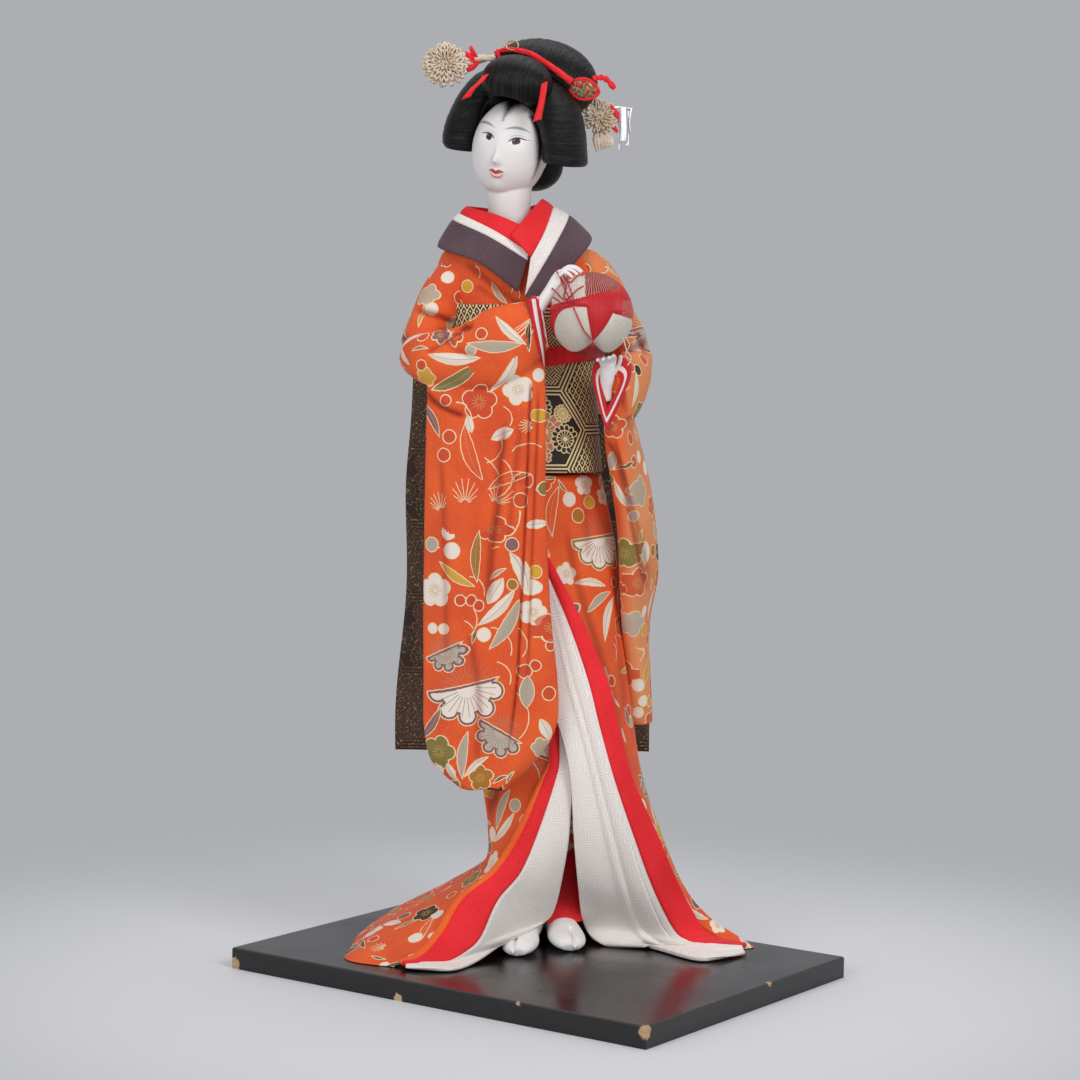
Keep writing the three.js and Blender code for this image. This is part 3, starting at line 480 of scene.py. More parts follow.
def lobed(put, angle, reach, size, lobes, core):
    """How far a point is outside a blossom of round lobes, in mm; less than 0 is inside."""
    half = put("Math DIVIDE", math.pi, lobes)
    wrapped = put("Math WRAP", angle, half, put("Math MULTIPLY", half, -1.0))
    hub = put("Math MULTIPLY", size, core)
    lobe = put("Math SUBTRACT", size, hub)
    x = put("Math SUBTRACT", put("Math MULTIPLY", reach, put("Math COSINE", wrapped)), hub)
    y = put("Math MULTIPLY", reach, put("Math SINE", wrapped))
    petal = put("Math SUBTRACT", put("VectorMath LENGTH", put("CombineXYZ", x, y)), lobe)
    return put("Math MINIMUM", petal, put("Math SUBTRACT", reach, hub))


def draw_bloom(put, base, slot, wobble):
    """Blossoms, buds, pine fans, needles and arcs over a base colour; gives the colour and the gold lines."""
    x, y, size, lobes, core, tint, code, style = print_frame(put, slot)
    angle = put("Math ARCTAN2", y, x)
    reach = put("VectorMath LENGTH", put("CombineXYZ", x, y))
    fan, needle, arc, drawn = (put("Math COMPARE", style, k, 0.25) for k in (2.0, 3.0, 4.0, 1.0))
    whole = lobed(put, angle, reach, size, lobes, core)
    flat = put("Math SUBTRACT", put("Math MULTIPLY", size, -0.08), y)
    cut = put("Math MULTIPLY_ADD", put("Math SUBTRACT", fan, 1.0), 1000.0, flat)
    away = put("Math ADD", put("Math MAXIMUM", whole, cut), wobble)
    inside = put("Math LESS_THAN", away, 0.0)
    bare = put("Math ADD", put("Math ADD", drawn, needle), arc)
    filled = put("Math MULTIPLY", inside, put("Math SUBTRACT", 1.0, bare))
    base = put("Mix RGBA", put("Math MULTIPLY", put("Math MULTIPLY", inside, drawn), 0.75), base, "#cc3f22")
    base = put("Mix RGBA", filled, base, tint)
    band = put("Math MULTIPLY", put("Math GREATER_THAN", away, -1.5), put("Math MULTIPLY", filled, fan))
    edging = put("Mix RGBA", put("Math LESS_THAN", core, 0.7), "#80545e", "#8b8246")
    base = put("Mix RGBA", band, base, edging)
    spread = put("Math MULTIPLY", size, put("Math MULTIPLY_ADD", fan, 0.36, 0.42))
    stamens = rays(put, angle, reach, put("Math MULTIPLY_ADD", fan, 14.0, 12.0), 0.17,
                   put("Math MULTIPLY", size, put("Math MULTIPLY_ADD", fan, 0.14, 0.12)), spread)
    many = put("Math GREATER_THAN", lobes, 2.0)
    stamens = put("Math MULTIPLY", stamens, many)
    base = put("Mix RGBA", stamens, base, put("Mix RGBA", fan, "#c9a15a", "#8f8473"))
    tips = put("Math MULTIPLY", put("Math MULTIPLY", size, 0.92), put("Math SINE", angle))
    brush = rays(put, angle, reach, 22.0, 0.22, put("Math MULTIPLY", size, 0.12), tips)
    brush = put("Math MULTIPLY", brush, needle)
    rim = put("Math LESS_THAN", put("Math ABSOLUTE", away), 0.3)
    open_part = put("Math LESS_THAN", put("Math ABSOLUTE", angle), 0.9)
    kept = put("Math ADD", put("Math SUBTRACT", 1.0, arc), put("Math MULTIPLY", arc, open_part))
    kept = put("Math MULTIPLY", kept, put("Math SUBTRACT", 1.0, needle))
    line = put("Math MAXIMUM", put("Math MULTIPLY", rim, kept), brush)
    dots = put("TexVoronoi", put("TexCoord", out="Object"),
               named={"Scale": 1 / (1.9 * MM), "Randomness": 0.6})
    dots = put("Math LESS_THAN", dots, 0.3)
    specks = put("Math MULTIPLY", put("Math MULTIPLY", dots, put("Math COMPARE", code, 0.8, 0.04)), filled)
    base = put("Mix RGBA", specks, base, "#f3ece2")
    return put("Mix RGBA", line, base, GOLD_LINE), line


def draw_leaf(put, base, slot, wobble):
    """Bamboo leaves, bud leaves and drawn leaves over a base colour; gives the colour and the gold lines."""
    x, y, size, breadth, bend, tint, _, style = print_frame(put, slot)
    along_it = put("Math DIVIDE", x, size)
    arch = put("Math MULTIPLY", put("Math MULTIPLY", put("Math MULTIPLY", along_it, along_it), bend), size)
    y = put("Math ADD", y, arch)
    square = put("Math MULTIPLY_ADD", breadth, breadth, 1.0)
    radius = put("Math DIVIDE", put("Math MULTIPLY", size, square), put("Math MULTIPLY", breadth, 2.0))
    drop = put("Math SUBTRACT", radius, put("Math MULTIPLY", breadth, size))
    side = put("Math ABSOLUTE", y)
    far = put("VectorMath LENGTH", put("CombineXYZ", x, put("Math ADD", side, drop)))
    away = put("Math ADD", put("Math SUBTRACT", far, radius), wobble)
    filled = put("Math MULTIPLY", put("Math LESS_THAN", away, 0.0), put("Math LESS_THAN", style, 0.5))
    base = put("Mix RGBA", filled, base, tint)
    shade = put("Math MULTIPLY", put("Math GREATER_THAN", y, 0.0), 0.16)
    base = put("Mix RGBA", put("Math MULTIPLY", shade, filled), base, "#9a8c76")
    vein = put("Math MULTIPLY", put("Math LESS_THAN", side, 0.14), put("Math LESS_THAN", away, -0.5))
    base = put("Mix RGBA", vein, base, "#a99b85")
    rim = put("Math LESS_THAN", put("Math ABSOLUTE", away), 0.26)
    return put("Mix RGBA", rim, base, GOLD_LINE), rim


def printed_crepe():
    """Silk crepe dyed orange, with plants in flat opaque paste, edged by gold lines a little proud of it."""
    made, put = material("printed_silk_crepe")
    at = put("TexCoord", out="Object")
    pebble = put("TexNoise", at, 1 / (0.6 * MM), 2.0)
    cloud = put("TexNoise", at, 1 / (26 * MM), 2.0)
    tone = put("MapRange", put("Math ADD", pebble, cloud), 0.75, 1.25, 0.0, 1.0)
    base = put("Mix RGBA", tone, "#d9451a", "#f3611b")
    faded = put("Attribute", out="Fac", attribute_name="faded")
    # a paler, less saturated orange where a piece's paler measure is high
    base = put("Mix RGBA", faded, base, put("Mix RGBA", tone, "#d98a52", "#eba069"))
    wobble = put("MapRange", put("TexNoise", at, 1 / (2.5 * MM)), 0.0, 1.0, -0.35, 0.35)
    lines = []
    for slot in SLOTS:
        base, line = (draw_bloom if slot.startswith("bloom") else draw_leaf)(put, base, slot, wobble)
        lines.append(line)
    raised = put("Math ADD", put("Math ADD", lines[0], lines[1]), put("Math ADD", lines[2], lines[3]))
    worn = put("MapRange", pebble, 0.3, 0.7, 0.0, 0.14)
    base = put("Mix RGBA", worn, base, "#cf7f4c")
    # painted shade: the cloth is darkened towards red-brown where it lies deep in a fold
    folded = put("Math MULTIPLY", put("Attribute", out="Fac", attribute_name="folded"), 0.72)
    base = put("Mix RGBA", folded, base, "#8a2006")
    height = put("Math MULTIPLY_ADD", raised, 0.5, pebble)
    rough = put("MapRange", raised, 0.0, 1.0, 0.8, 0.5)
    finish(put, base, rough, height, 0.5, 0.3, Sheen_Weight=0.05, Sheen_Roughness=0.45)
    return made


def damask(name, bright, deep):
    """Off-white figured silk: a fret of satin lines 1.3 mm apart, smoother and lighter than the ground."""
    made, put = material(name)
    flat = put("UVMap", uv_map="cloth")
    warp = put("TexNoise", flat, 1 / (9 * MM), 2.0, out="Color")
    bent = put("VectorMath MULTIPLY_ADD", warp, [5 * MM, 5 * MM, 0], flat)
    x, y, _ = put("SeparateXYZ", put("VectorMath MULTIPLY", bent, [1 / MM] * 3)).node.outputs
    cells = [put("Math FLOORED_MODULO", put("Math FLOOR", put("Math DIVIDE", k, 6.5)), 2.0) for k in (x, y)]
    even = put("Math COMPARE", cells[0], cells[1], 0.5)
    way = put("Mix", even, x, y)
    stripe = put("MapRange", put("Math PINGPONG", way, 0.65), 0.22, 0.42, 0.0, 1.0)
    weave = put("TexNoise", put("TexCoord", out="Object"), 1 / (0.5 * MM))
    base = put("Mix RGBA", stripe, deep, bright)
    base = put("Mix RGBA", put("MapRange", weave, 0.35, 0.65, 0.0, 0.12), base, "#b9a99c")
    height = put("Math MULTIPLY_ADD", stripe, 0.6, weave)
    finish(put, base, put("MapRange", stripe, 0.0, 1.0, 0.75, 0.5), height, 0.5, 0.3, Sheen_Weight=0.2)
    return made


def hexagons(put, x, y, apothem, offset):
    """The x and y from the nearest centre of one half of a hexagon pattern, and how far out in its cell."""
    wide = apothem / math.cos(math.pi / 6) * 1.5
    u = put("Math WRAP", put("Math ADD", x, offset * wide), wide, -wide)
    v = put("Math WRAP", put("Math ADD", y, offset * apothem), apothem, -apothem)
    up = put("Math ABSOLUTE", v)
    slant = put("Math MULTIPLY_ADD", put("Math ABSOLUTE", u), 0.866, put("Math MULTIPLY", up, 0.5))
    return u, v, put("Math MAXIMUM", up, slant)


def brocade(name, ground, gold, sparse=0.2, edge=0.0, rose="#d98468"):
    """Stiff brocade: dark twill with figures in gilt thread, which are brighter, smoother and raised."""
    made, put = material(name)
    flat = put("VectorMath MULTIPLY", put("UVMap", uv_map="cloth"), [1 / MM] * 3)
    x, y, _ = put("SeparateXYZ", flat).node.outputs
    apothem = 21.5
    u, v, first = hexagons(put, x, y, apothem, 0)
    p, q, second = hexagons(put, x, y, apothem, 1)
    nearer = put("Math LESS_THAN", first, second)
    level = put("Math FLOOR", put("Math DIVIDE", put("Math ADD", y, apothem), 2 * apothem))
    even = put("Math LESS_THAN", put("Math FLOORED_MODULO", level, 2.0), 0.5)
    flowered = put("Math MULTIPLY", nearer, even)
    out_in = put("Math MINIMUM", first, second)
    frames = put("Math COMPARE", out_in, apothem - 2.0, 0.5)
    frames = put("Math MAXIMUM", frames, put("Math COMPARE", out_in, apothem - 0.2, 0.3))
    field_in = put("Math LESS_THAN", out_in, apothem - 3.2)

    base = ground
    gilt = frames
    for cx, cy, size, tint in ((-1, 12.5, 7, "#241a12"), (1, -1, 11, rose), (12, -5, 8, "#241a12"),
                               (-3, -14, 6.5, rose), (12, 9, 5, "#c29a55"), (-13, 3, 8, "#241a12")):
        a, b = put("Math SUBTRACT", u, cx), put("Math SUBTRACT", v, cy)
        angle = put("Math ARCTAN2", b, a)
        reach = put("VectorMath LENGTH", put("CombineXYZ", a, b))
        outer = lobed(put, angle, reach, size, 14.0, 0.84)
        mine = put("Math MULTIPLY", put("Math LESS_THAN", outer, 0.3),
                   put("Math MULTIPLY", flowered, field_in))
        gilt = put("Math MULTIPLY", gilt, put("Math SUBTRACT", 1.0, mine))
        base = put("Mix RGBA", mine, base, tint)
        inner = lobed(put, angle, reach, size * 0.6, 14.0, 0.8)
        petals = put("Math MINIMUM", put("Math ABSOLUTE", outer), put("Math ABSOLUTE", inner))
        drawn = put("Math LESS_THAN", petals, 0.3)
        turned = put("Math ADD", angle, math.pi / 14)
        drawn = put("Math MAXIMUM", drawn, rays(put, turned, reach, 14.0, 0.2, size * 0.2, size * 0.93))
        drawn = put("Math MAXIMUM", drawn, put("Math LESS_THAN", reach, size * 0.17))
        gilt = put("Math MAXIMUM", gilt, put("Math MULTIPLY", drawn, mine))

    plain = put("Math MULTIPLY", put("Math SUBTRACT", 1.0, flowered), field_in)
    slopes = [put("Math MULTIPLY_ADD", q, k, p) for k in (0.62, -0.62)]
    mesh_lines = [put("Math LESS_THAN", put("Math PINGPONG", k, 2.0), 0.42) for k in slopes]
    net = put("Math MAXIMUM", *mesh_lines)
    dot = [put("Math GREATER_THAN", put("Math PINGPONG", k, 2.0), 1.45) for k in slopes]
    net = put("Math MAXIMUM", net, put("Math MULTIPLY", *dot))
    slant = [put("Math ADD", u, v), put("Math SUBTRACT", u, v)]
    cells = [put("Math FLOORED_MODULO", put("Math FLOOR", put("Math DIVIDE", k, 6.0)), 2.0) for k in slant]
    way = put("Mix", put("Math COMPARE", *cells, 0.5), *slant)
    basket = put("Math GREATER_THAN", put("Math PINGPONG", way, 1.0), 0.46)
    figure = put("Mix", nearer, net, basket)
    gilt = put("Math MAXIMUM", gilt, put("Math MULTIPLY", figure, plain))

    object_at = put("TexCoord", out="Object")
    twill = put("Math DIVIDE", put("Math PINGPONG", put("Math ADD", x, y), 0.35), 0.35)
    worn = put("TexNoise", object_at, 1 / (1.1 * MM), 2.0)
    if edge:
        border = put("Math COMPARE", put("Math ABSOLUTE", x), edge, 0.7)
        gilt = put("Math MAXIMUM", gilt, border)
    gilt = put("Math MULTIPLY", gilt, put("MapRange", worn, sparse, sparse + 0.12, 0.1, 1.0))
    bright = put("Mix RGBA", twill, "#dcc080", gold)
    base = put("Mix RGBA", put("Math MULTIPLY", twill, 0.2), base, "#4a3a28")
    base = put("Mix RGBA", gilt, base, bright)
    height = put("Math MULTIPLY_ADD", gilt, 1.4, twill)
    finish(put, base, put("MapRange", gilt, 0.0, 1.0, 0.62, 0.42), height, 0.5, 0.25)
    return made


def combed_hair(name):
    """Black silk-like strands combed smooth: fine lines along the comb, with long soft streaks of light
    painted into the colour as lighter grey strands.
    """
    made, put = material(name)
    flat = put("UVMap", uv_map="cloth")
    strand = put("Mapping", flat, named={"Scale": (1 / (20 * MM), 1 / (0.5 * MM), 1)})
    fine = put("TexNoise", strand, 1.0, 3.0, 0.6)
    coarse = put("Mapping", flat, named={"Scale": (1 / (40 * MM), 1 / (2.2 * MM), 1)})
    lock = put("TexNoise", coarse, 1.0, 1.0)
    mixed = put("Math MULTIPLY", fine, lock)
    # painted highlight: lighter grey strands stand for the streaks of light on the combed hair, and for its
    # uneven strands as well
    grey = put("MapRange", mixed, 0.25, 0.38, 0.0, 1.0)
    base = put("Mix RGBA", grey, "#020101", "#221e1b")
    rough = put("MapRange", fine, 0.35, 0.65, 0.24, 0.46)
    height = put("Math MULTIPLY_ADD", lock, 0.35, fine)
    finish(put, base, rough, height, 1.0, 0.6, Specular_IOR_Level=0.28)
    return made


def straw():
    """Dry split straw: dull beige with darker lengthwise fibres and a faint polish on the ridges."""
    made, put = material("split_straw")
    at = put("TexCoord", out="Object")
    fibre = put("TexNoise", at, 1 / (0.9 * MM), 3.0)
    patch = put("TexNoise", at, 1 / (7 * MM))
    tone = put("MapRange", put("Math ADD", fibre, patch), 0.7, 1.3, 0.0, 1.0)
    base = put("Mix RGBA", tone, "#c4aa8a", "#f0e3d0")
    finish(put, base, 0.6, fibre, 0.4, 0.2)
    return made


def metal(name, code, rough):
    """Thin rolled strip: bright, with faint lengthwise rolling marks that break up its reflections."""
    made, put = material(name)
    at = put("TexCoord", out="Object")
    rolled = put("Mapping", at, named={"Scale": (1 / (0.8 * MM), 1 / (0.8 * MM), 1 / (12 * MM))})
    marks = put("TexNoise", rolled, 1.0)
    base = put("Mix RGBA", put("MapRange", marks, 0.3, 0.7, 0.0, 0.25), code, "#8b8b90")
    finish(put, base, put("MapRange", marks, 0.0, 1.0, rough, rough + 0.2), marks, 0.1, 0.05, Metallic=1.0)
    return made


def lacquer():
    """Black lacquer on wood: a deep gloss with orange peel, dust, rubbed edges and chips to pale wood."""
    made, put = material("black_lacquer_on_wood")
    at = put("TexCoord", out="Object")
    x, y, z = put("SeparateXYZ", put("VectorMath MULTIPLY", at, [1 / MM] * 3)).node.outputs
    peel = put("TexNoise", at, 1 / (9 * MM), 1.0)
    dust = put("TexNoise", at, 1 / (1.4 * MM), 4.0, 0.7)
    cloud = put("TexNoise", at, 1 / (45 * MM), 3.0)
    dusty = put("Math MULTIPLY", put("MapRange", dust, 0.62, 0.76, 0.0, 1.0),
                put("MapRange", cloud, 0.4, 0.65, 0.0, 0.5))
    lengthwise = put("Mapping", at, named={"Scale": (1 / (30 * MM), 1 / (1.2 * MM), 1 / (1.2 * MM))})
    grain = put("TexNoise", lengthwise, 1.0, 3.0)
    wood = put("Mix RGBA", grain, "#8d6a48", "#d8b98e")
    chips = None
    for cx, cy, cz, size in ((-139, -100, 2, 5), (139.5, -99.5, 9, 4.5), (-20, -100, 1, 3.5),
                             (60, -100, 11.5, 2), (139, 20, 11.5, 2.4)):
        off = put("VectorMath SUBTRACT", put("CombineXYZ", x, y, z), [cx, cy, cz])
        near = put("Math SUBTRACT", put("VectorMath LENGTH", off), size)
        chips = near if chips is None else put("Math MINIMUM", chips, near)
    ragged = put("Math ADD", put("MapRange", dust, 0.0, 1.0, -3.0, 3.0), chips)
    chip = put("Math LESS_THAN", ragged, -0.6)
    edge = put("MapRange", z, 10.9, 11.7, 0.0, 0.35)
    inner = put("Math GREATER_THAN", put("Math ABSOLUTE", x), 139.0)
    front = put("Math GREATER_THAN", put("Math ABSOLUTE", y), 99.0)
    rub = put("Math MULTIPLY", put("Math MULTIPLY", edge, put("Math MAXIMUM", inner, front)), dust)
    base = put("Mix RGBA", dusty, "#0c0b0c", "#4d4c4e")
    base = put("Mix RGBA", rub, base, "#8a8886")
    base = put("Mix RGBA", chip, base, wood)
    rough = put("Math ADD", put("MapRange", cloud, 0.3, 0.7, 0.18, 0.32), put("Math MULTIPLY", dusty, 0.3))
    rough = put("Math ADD", rough, put("Math MULTIPLY", chip, 0.5))
    height = put("Math SUBTRACT", peel, put("Math MULTIPLY", chip, 6.0))
    finish(put, base, rough, height, 0.12, 0.3, Coat_Weight=0.12, Coat_Roughness=0.12)
    return made


def shell_white(name):
    """Shell-white paint rubbed to a soft satin: a warm white with the faintest cloud and brush marks."""
    made, put = material(name)
    at = put("TexCoord", out="Object")
    cloud = put("TexNoise", at, 1 / (12 * MM), 3.0)
    base = put("Mix RGBA", cloud, "#f3f0ee", "#ebe6e3")
    brush = put("TexNoise", at, 1 / (0.8 * MM), 2.0)
    finish(put, base, 0.42, brush, 0.05, 0.1, Subsurface_Weight=0.06, Subsurface_Scale=2 * MM)
    return made


def painted_face():
    """The head's shell-white paint, with the features drawn thinly by brush and the hairline feathered in."""
    made, put = material("painted_shell_white")
    at = put("TexCoord", out="Object")
    cloud = put("TexNoise", at, 1 / (12 * MM), 3.0)
    brush = put("TexNoise", at, 1 / (0.45 * MM), 2.0)
    base = put("Mix RGBA", cloud, "#f3f0ee", "#ebe6e3")
    # Each ink's measure on the head, the two measures between which it fades in, its weight and its colour
    inks = (
        ("brow", 0.25, -0.35, 0.75, "#6d6f73"), ("fold", 0.25, -0.1, 0.65, "#8f8985"),
        ("low_lid", 0.2, -0.1, 0.5, "#8f7f78"), ("eye", 0.1, -0.1, 1.0, "#f6f5f4"),
        ("iris", 0.15, -0.15, 1.0, "#2c1712"), ("glint", 0.2, -0.2, 0.7, "#b9b6b4"),
        ("lid", 0.16, -0.1, 0.95, "#2e2a2a"), ("lower_lip", 0.2, -0.2, 0.3, "#eeb0a8"),
        ("lip_line", 0.25, -0.1, 0.85, "#d8383f"), ("upper_lip", 0.2, -0.2, 0.95, "#c9262d"),
    )
    seen = None
    for name, outer, inner, weight, code in inks:
        distance = put("Attribute", out="Fac", attribute_name=name)
        mask = put("MapRange", distance, outer, inner, 0.0, weight)
        if name == "eye":
            seen = mask
        if name in ("iris", "glint"):
            mask = put("Math MULTIPLY", mask, seen)
        ink = code
        if name == "iris":
            pupil = put("MapRange", distance, -1.3, -1.0, 0.0, 1.0)
            ink = put("Mix RGBA", pupil, "#120c0b", "#4a241b")
        base = put("Mix RGBA", mask, base, ink)
    hair = put("Attribute", out="Fac", attribute_name="hair")
    ragged = put("MapRange", brush, 0.3, 0.7, -0.9, 0.9)
    hair = put("MapRange", put("Math ADD", hair, ragged), -1.7, 0.7, 0.0, 1.0)
    base = put("Mix RGBA", hair, base, "#171312")
    finish(put, base, 0.42, brush, 0.04, 0.1, Subsurface_Weight=0.06, Subsurface_Scale=2 * MM)
    return made


def wound_thread():
    """Silk thread wound on a ball: white petals, red bands and striped lobes, each thread a fine ridge."""
    made, put = material("wound_silk_thread")
    away = put("VectorMath SUBTRACT", put("TexCoord", out="Object"), to_row(BALL["at"]).tolist())
    d = put("VectorMath NORMALIZE", away)
    pole, side, up, across, ahead = (turned(k).tolist()
                                     for k in (POLE, POLE_SIDE, POLE_UP, [1, 0, 0], [0, -1, 0]))
    height, x, y, wide, front = (put("VectorMath DOT_PRODUCT", d, k)
                                 for k in (pole, side, up, across, ahead))
    tall = put("SeparateXYZ", d, out=2)
    ring = put("Math ARCCOSINE", height)
    turn = put("Math DEGREES", put("Math ARCTAN2", x, y))
    ripple = put("TexNoise", d, 14.0, 1.0)
    wide_edge = put("Math ADD", wide, put("MapRange", ripple, 0.0, 1.0, -0.03, 0.03))
    tall_edge = put("Math ADD", tall, put("MapRange", ripple, 0.0, 1.0, -0.03, 0.03))
    red, deep, white, stripe = "#e0121f", "#a00f1c", "#f1ebdd", "#d9a08c"
    line = put("Math GREATER_THAN", put("Math PINGPONG", put("Math MULTIPLY_ADD", wide, tall, 0.12), 0.016),
               0.0105)
    striped = put("Mix RGBA", line, deep, stripe)
    shown = put("Math GREATER_THAN", front, -0.1)
    base = put("Mix RGBA", put("Math LESS_THAN", tall, -0.75), red, deep)
    slope, rise = BAND_TOP
    above = put("Math GREATER_THAN", tall_edge, put("Math MULTIPLY_ADD", wide, slope, rise))
    above = put("Math MULTIPLY", above, shown)
    for first, last, tint in ((-1.1, LOBE_EDGES[0], white), (*LOBE_EDGES, striped)):
        columns = put("Math COMPARE", wide_edge, (first + last) / 2, (last - first) / 2)
        base = put("Mix RGBA", put("Math MULTIPLY", above, columns), base, tint)
    streak = put("Math GREATER_THAN", put("Math PINGPONG", put("Math MULTIPLY_ADD", tall, wide, 0.3), 0.02),
                 0.013)
    corner = put("Math MULTIPLY", put("Math GREATER_THAN", wide_edge, 0.72),
                 put("Math COMPARE", tall_edge, 0.14, 0.2))
    streak = put("Math MULTIPLY", put("Math MULTIPLY", streak, corner), shown)
    base = put("Mix RGBA", streak, base, stripe)
    turns = [put("Math COMPARE", turn, (first + last) / 2, (last - first) / 2) for first, last in PETALS]
    top = put("Math MULTIPLY_ADD", put("Math MAXIMUM", wide, 0.0), -0.27, 0.17)
    drop = put("Math MULTIPLY", put("Math MAXIMUM", put("Math MULTIPLY_ADD", wide, -1.0, -0.5), 0.0), 0.35)
    top = put("Math SUBTRACT", top, drop)
    petals = put("Math MULTIPLY", put("Math MAXIMUM", *turns), put("Math LESS_THAN", tall_edge, top))
    reach = put("Math MULTIPLY_ADD", wide, -0.13, ring)
    petals = put("Math MULTIPLY", petals, put("Math LESS_THAN", reach, 1.2))
    base = put("Mix RGBA", petals, base, white)
    wedge = put("Math PINGPONG", put("Math RADIANS", turn), 0.35)
    bent = put("Math ADD", ring, put("Math MULTIPLY", wedge, 0.6))
    thread = put("Math PINGPONG", put("Mix", petals, wide, bent), 0.019)
    shade = put("MapRange", put("Math MULTIPLY_ADD", thread, ripple, 0.01), 0.0, 0.024, 0.7, 0.0)
    groove = put("Mix RGBA", petals, "#6e0c14", "#a89c8c")
    base = put("Mix RGBA", shade, base, groove)
    finish(put, base, 0.45, thread, 0.9, 14.0)
    return made


def lipped_crepe():
    """Red silk crepe folded over at a sleeve's mouth, with a thin white cloth between its layers and painted
    shade in the hollow behind them.
    """
    made, put = material("red_crepe_with_white_edge")
    at = put("TexCoord", out="Object")
    pebble = put("TexNoise", at, 1 / (0.6 * MM), 2.0)
    layer = put("SeparateXYZ", put("UVMap", uv_map="cloth"), out=1)
    base = put("Mix RGBA", pebble, "#b30e1c", "#dd2230")
    white = put("Math COMPARE", layer, 5.0 * MM, 0.75 * MM)
    base = put("Mix RGBA", white, base, "#eadfd8")
    # painted shade: the hollow inside the sleeve's mouth, layers 7 to 8, is darkened to a red-black
    inside = put("MapRange", layer, 7.0 * MM, 8.2 * MM, 0.0, 0.8)
    base = put("Mix RGBA", inside, base, "#45060c")
    finish(put, base, 0.8, pebble, 0.4, 0.25, Sheen_Weight=0.2, Sheen_Roughness=0.4)
    return made


def patterned_silk():
    """The hair ribbon's red silk, with small green and gilt figures where it swells into the bow."""
    made, put = material("figured_ribbon_silk")
    at = put("TexCoord", out="Object")
    pebble = put("TexNoise", at, 1 / (0.5 * MM), 2.0)
    base = put("Mix RGBA", pebble, "#8c0f16", "#b81a22")
    cells = put("TexVoronoi", at, out=1, named={"Scale": 1 / (2.6 * MM)})
    edge = put("TexVoronoi", at, feature="DISTANCE_TO_EDGE", named={"Scale": 1 / (2.6 * MM)})
    bow = put("VectorMath LENGTH", put("VectorMath SUBTRACT", at, to_row(BOW["at"]).tolist()))
    near = put("MapRange", bow, 30 * MM, 29 * MM, 0.0, 1.0)
    pick = put("SeparateXYZ", cells)
    green = put("Math MULTIPLY", put("Math GREATER_THAN", pick, 0.66), near)
    base = put("Mix RGBA", green, base, "#4d6b45")
    gilt = put("Math MULTIPLY", put("Math LESS_THAN", edge, 0.022), near)
    base = put("Mix RGBA", gilt, base, "#d9b978")
    finish(put, base, 0.7, pebble, 0.4, 0.25, Sheen_Weight=0.2)
    return made


RED = silk_crepe("red_silk_crepe", "#fb2630", "#de141d")
BRIGHT_EDGE = silk_crepe("orange_silk_crepe", "#fb6f22", "#e6531a")
KIMONO = printed_crepe()
PLUM = silk_crepe("plum_silk", "#624a52", "#4a363e", 0.12)
WHITE = damask("white_damask", "#fffaf5", "#efe6de")
SOCK = silk_crepe("white_cotton", "#faf8f7", "#ece8e5")
OBI_CLOTH = brocade("gilt_brocade", "#1c130d", "#fff2bd")
SHELL = shell_white("shell_white_paint")
HAIR = combed_hair("black_silk_hair")
STRAW = straw()
SILVER = metal("rolled_silver_strip", "#fbfbfd", 0.38)
GILT = metal("gilt_wire", "#d9b36a", 0.3)
LACQUER = lacquer()
LIPPED = lipped_crepe()
FACE_PAINT = painted_face()
THREAD_RED = silk_crepe("red_silk_thread", "#d81c2c", "#a81020")
THREAD_PALE = silk_crepe("pale_silk_thread", "#eaddc8", "#cdb99f")
TAIL_CLOTH = brocade("dark_gilt_brocade", "#2c1612", "#b28e56", 0.56, 43.5, "#4a241c")


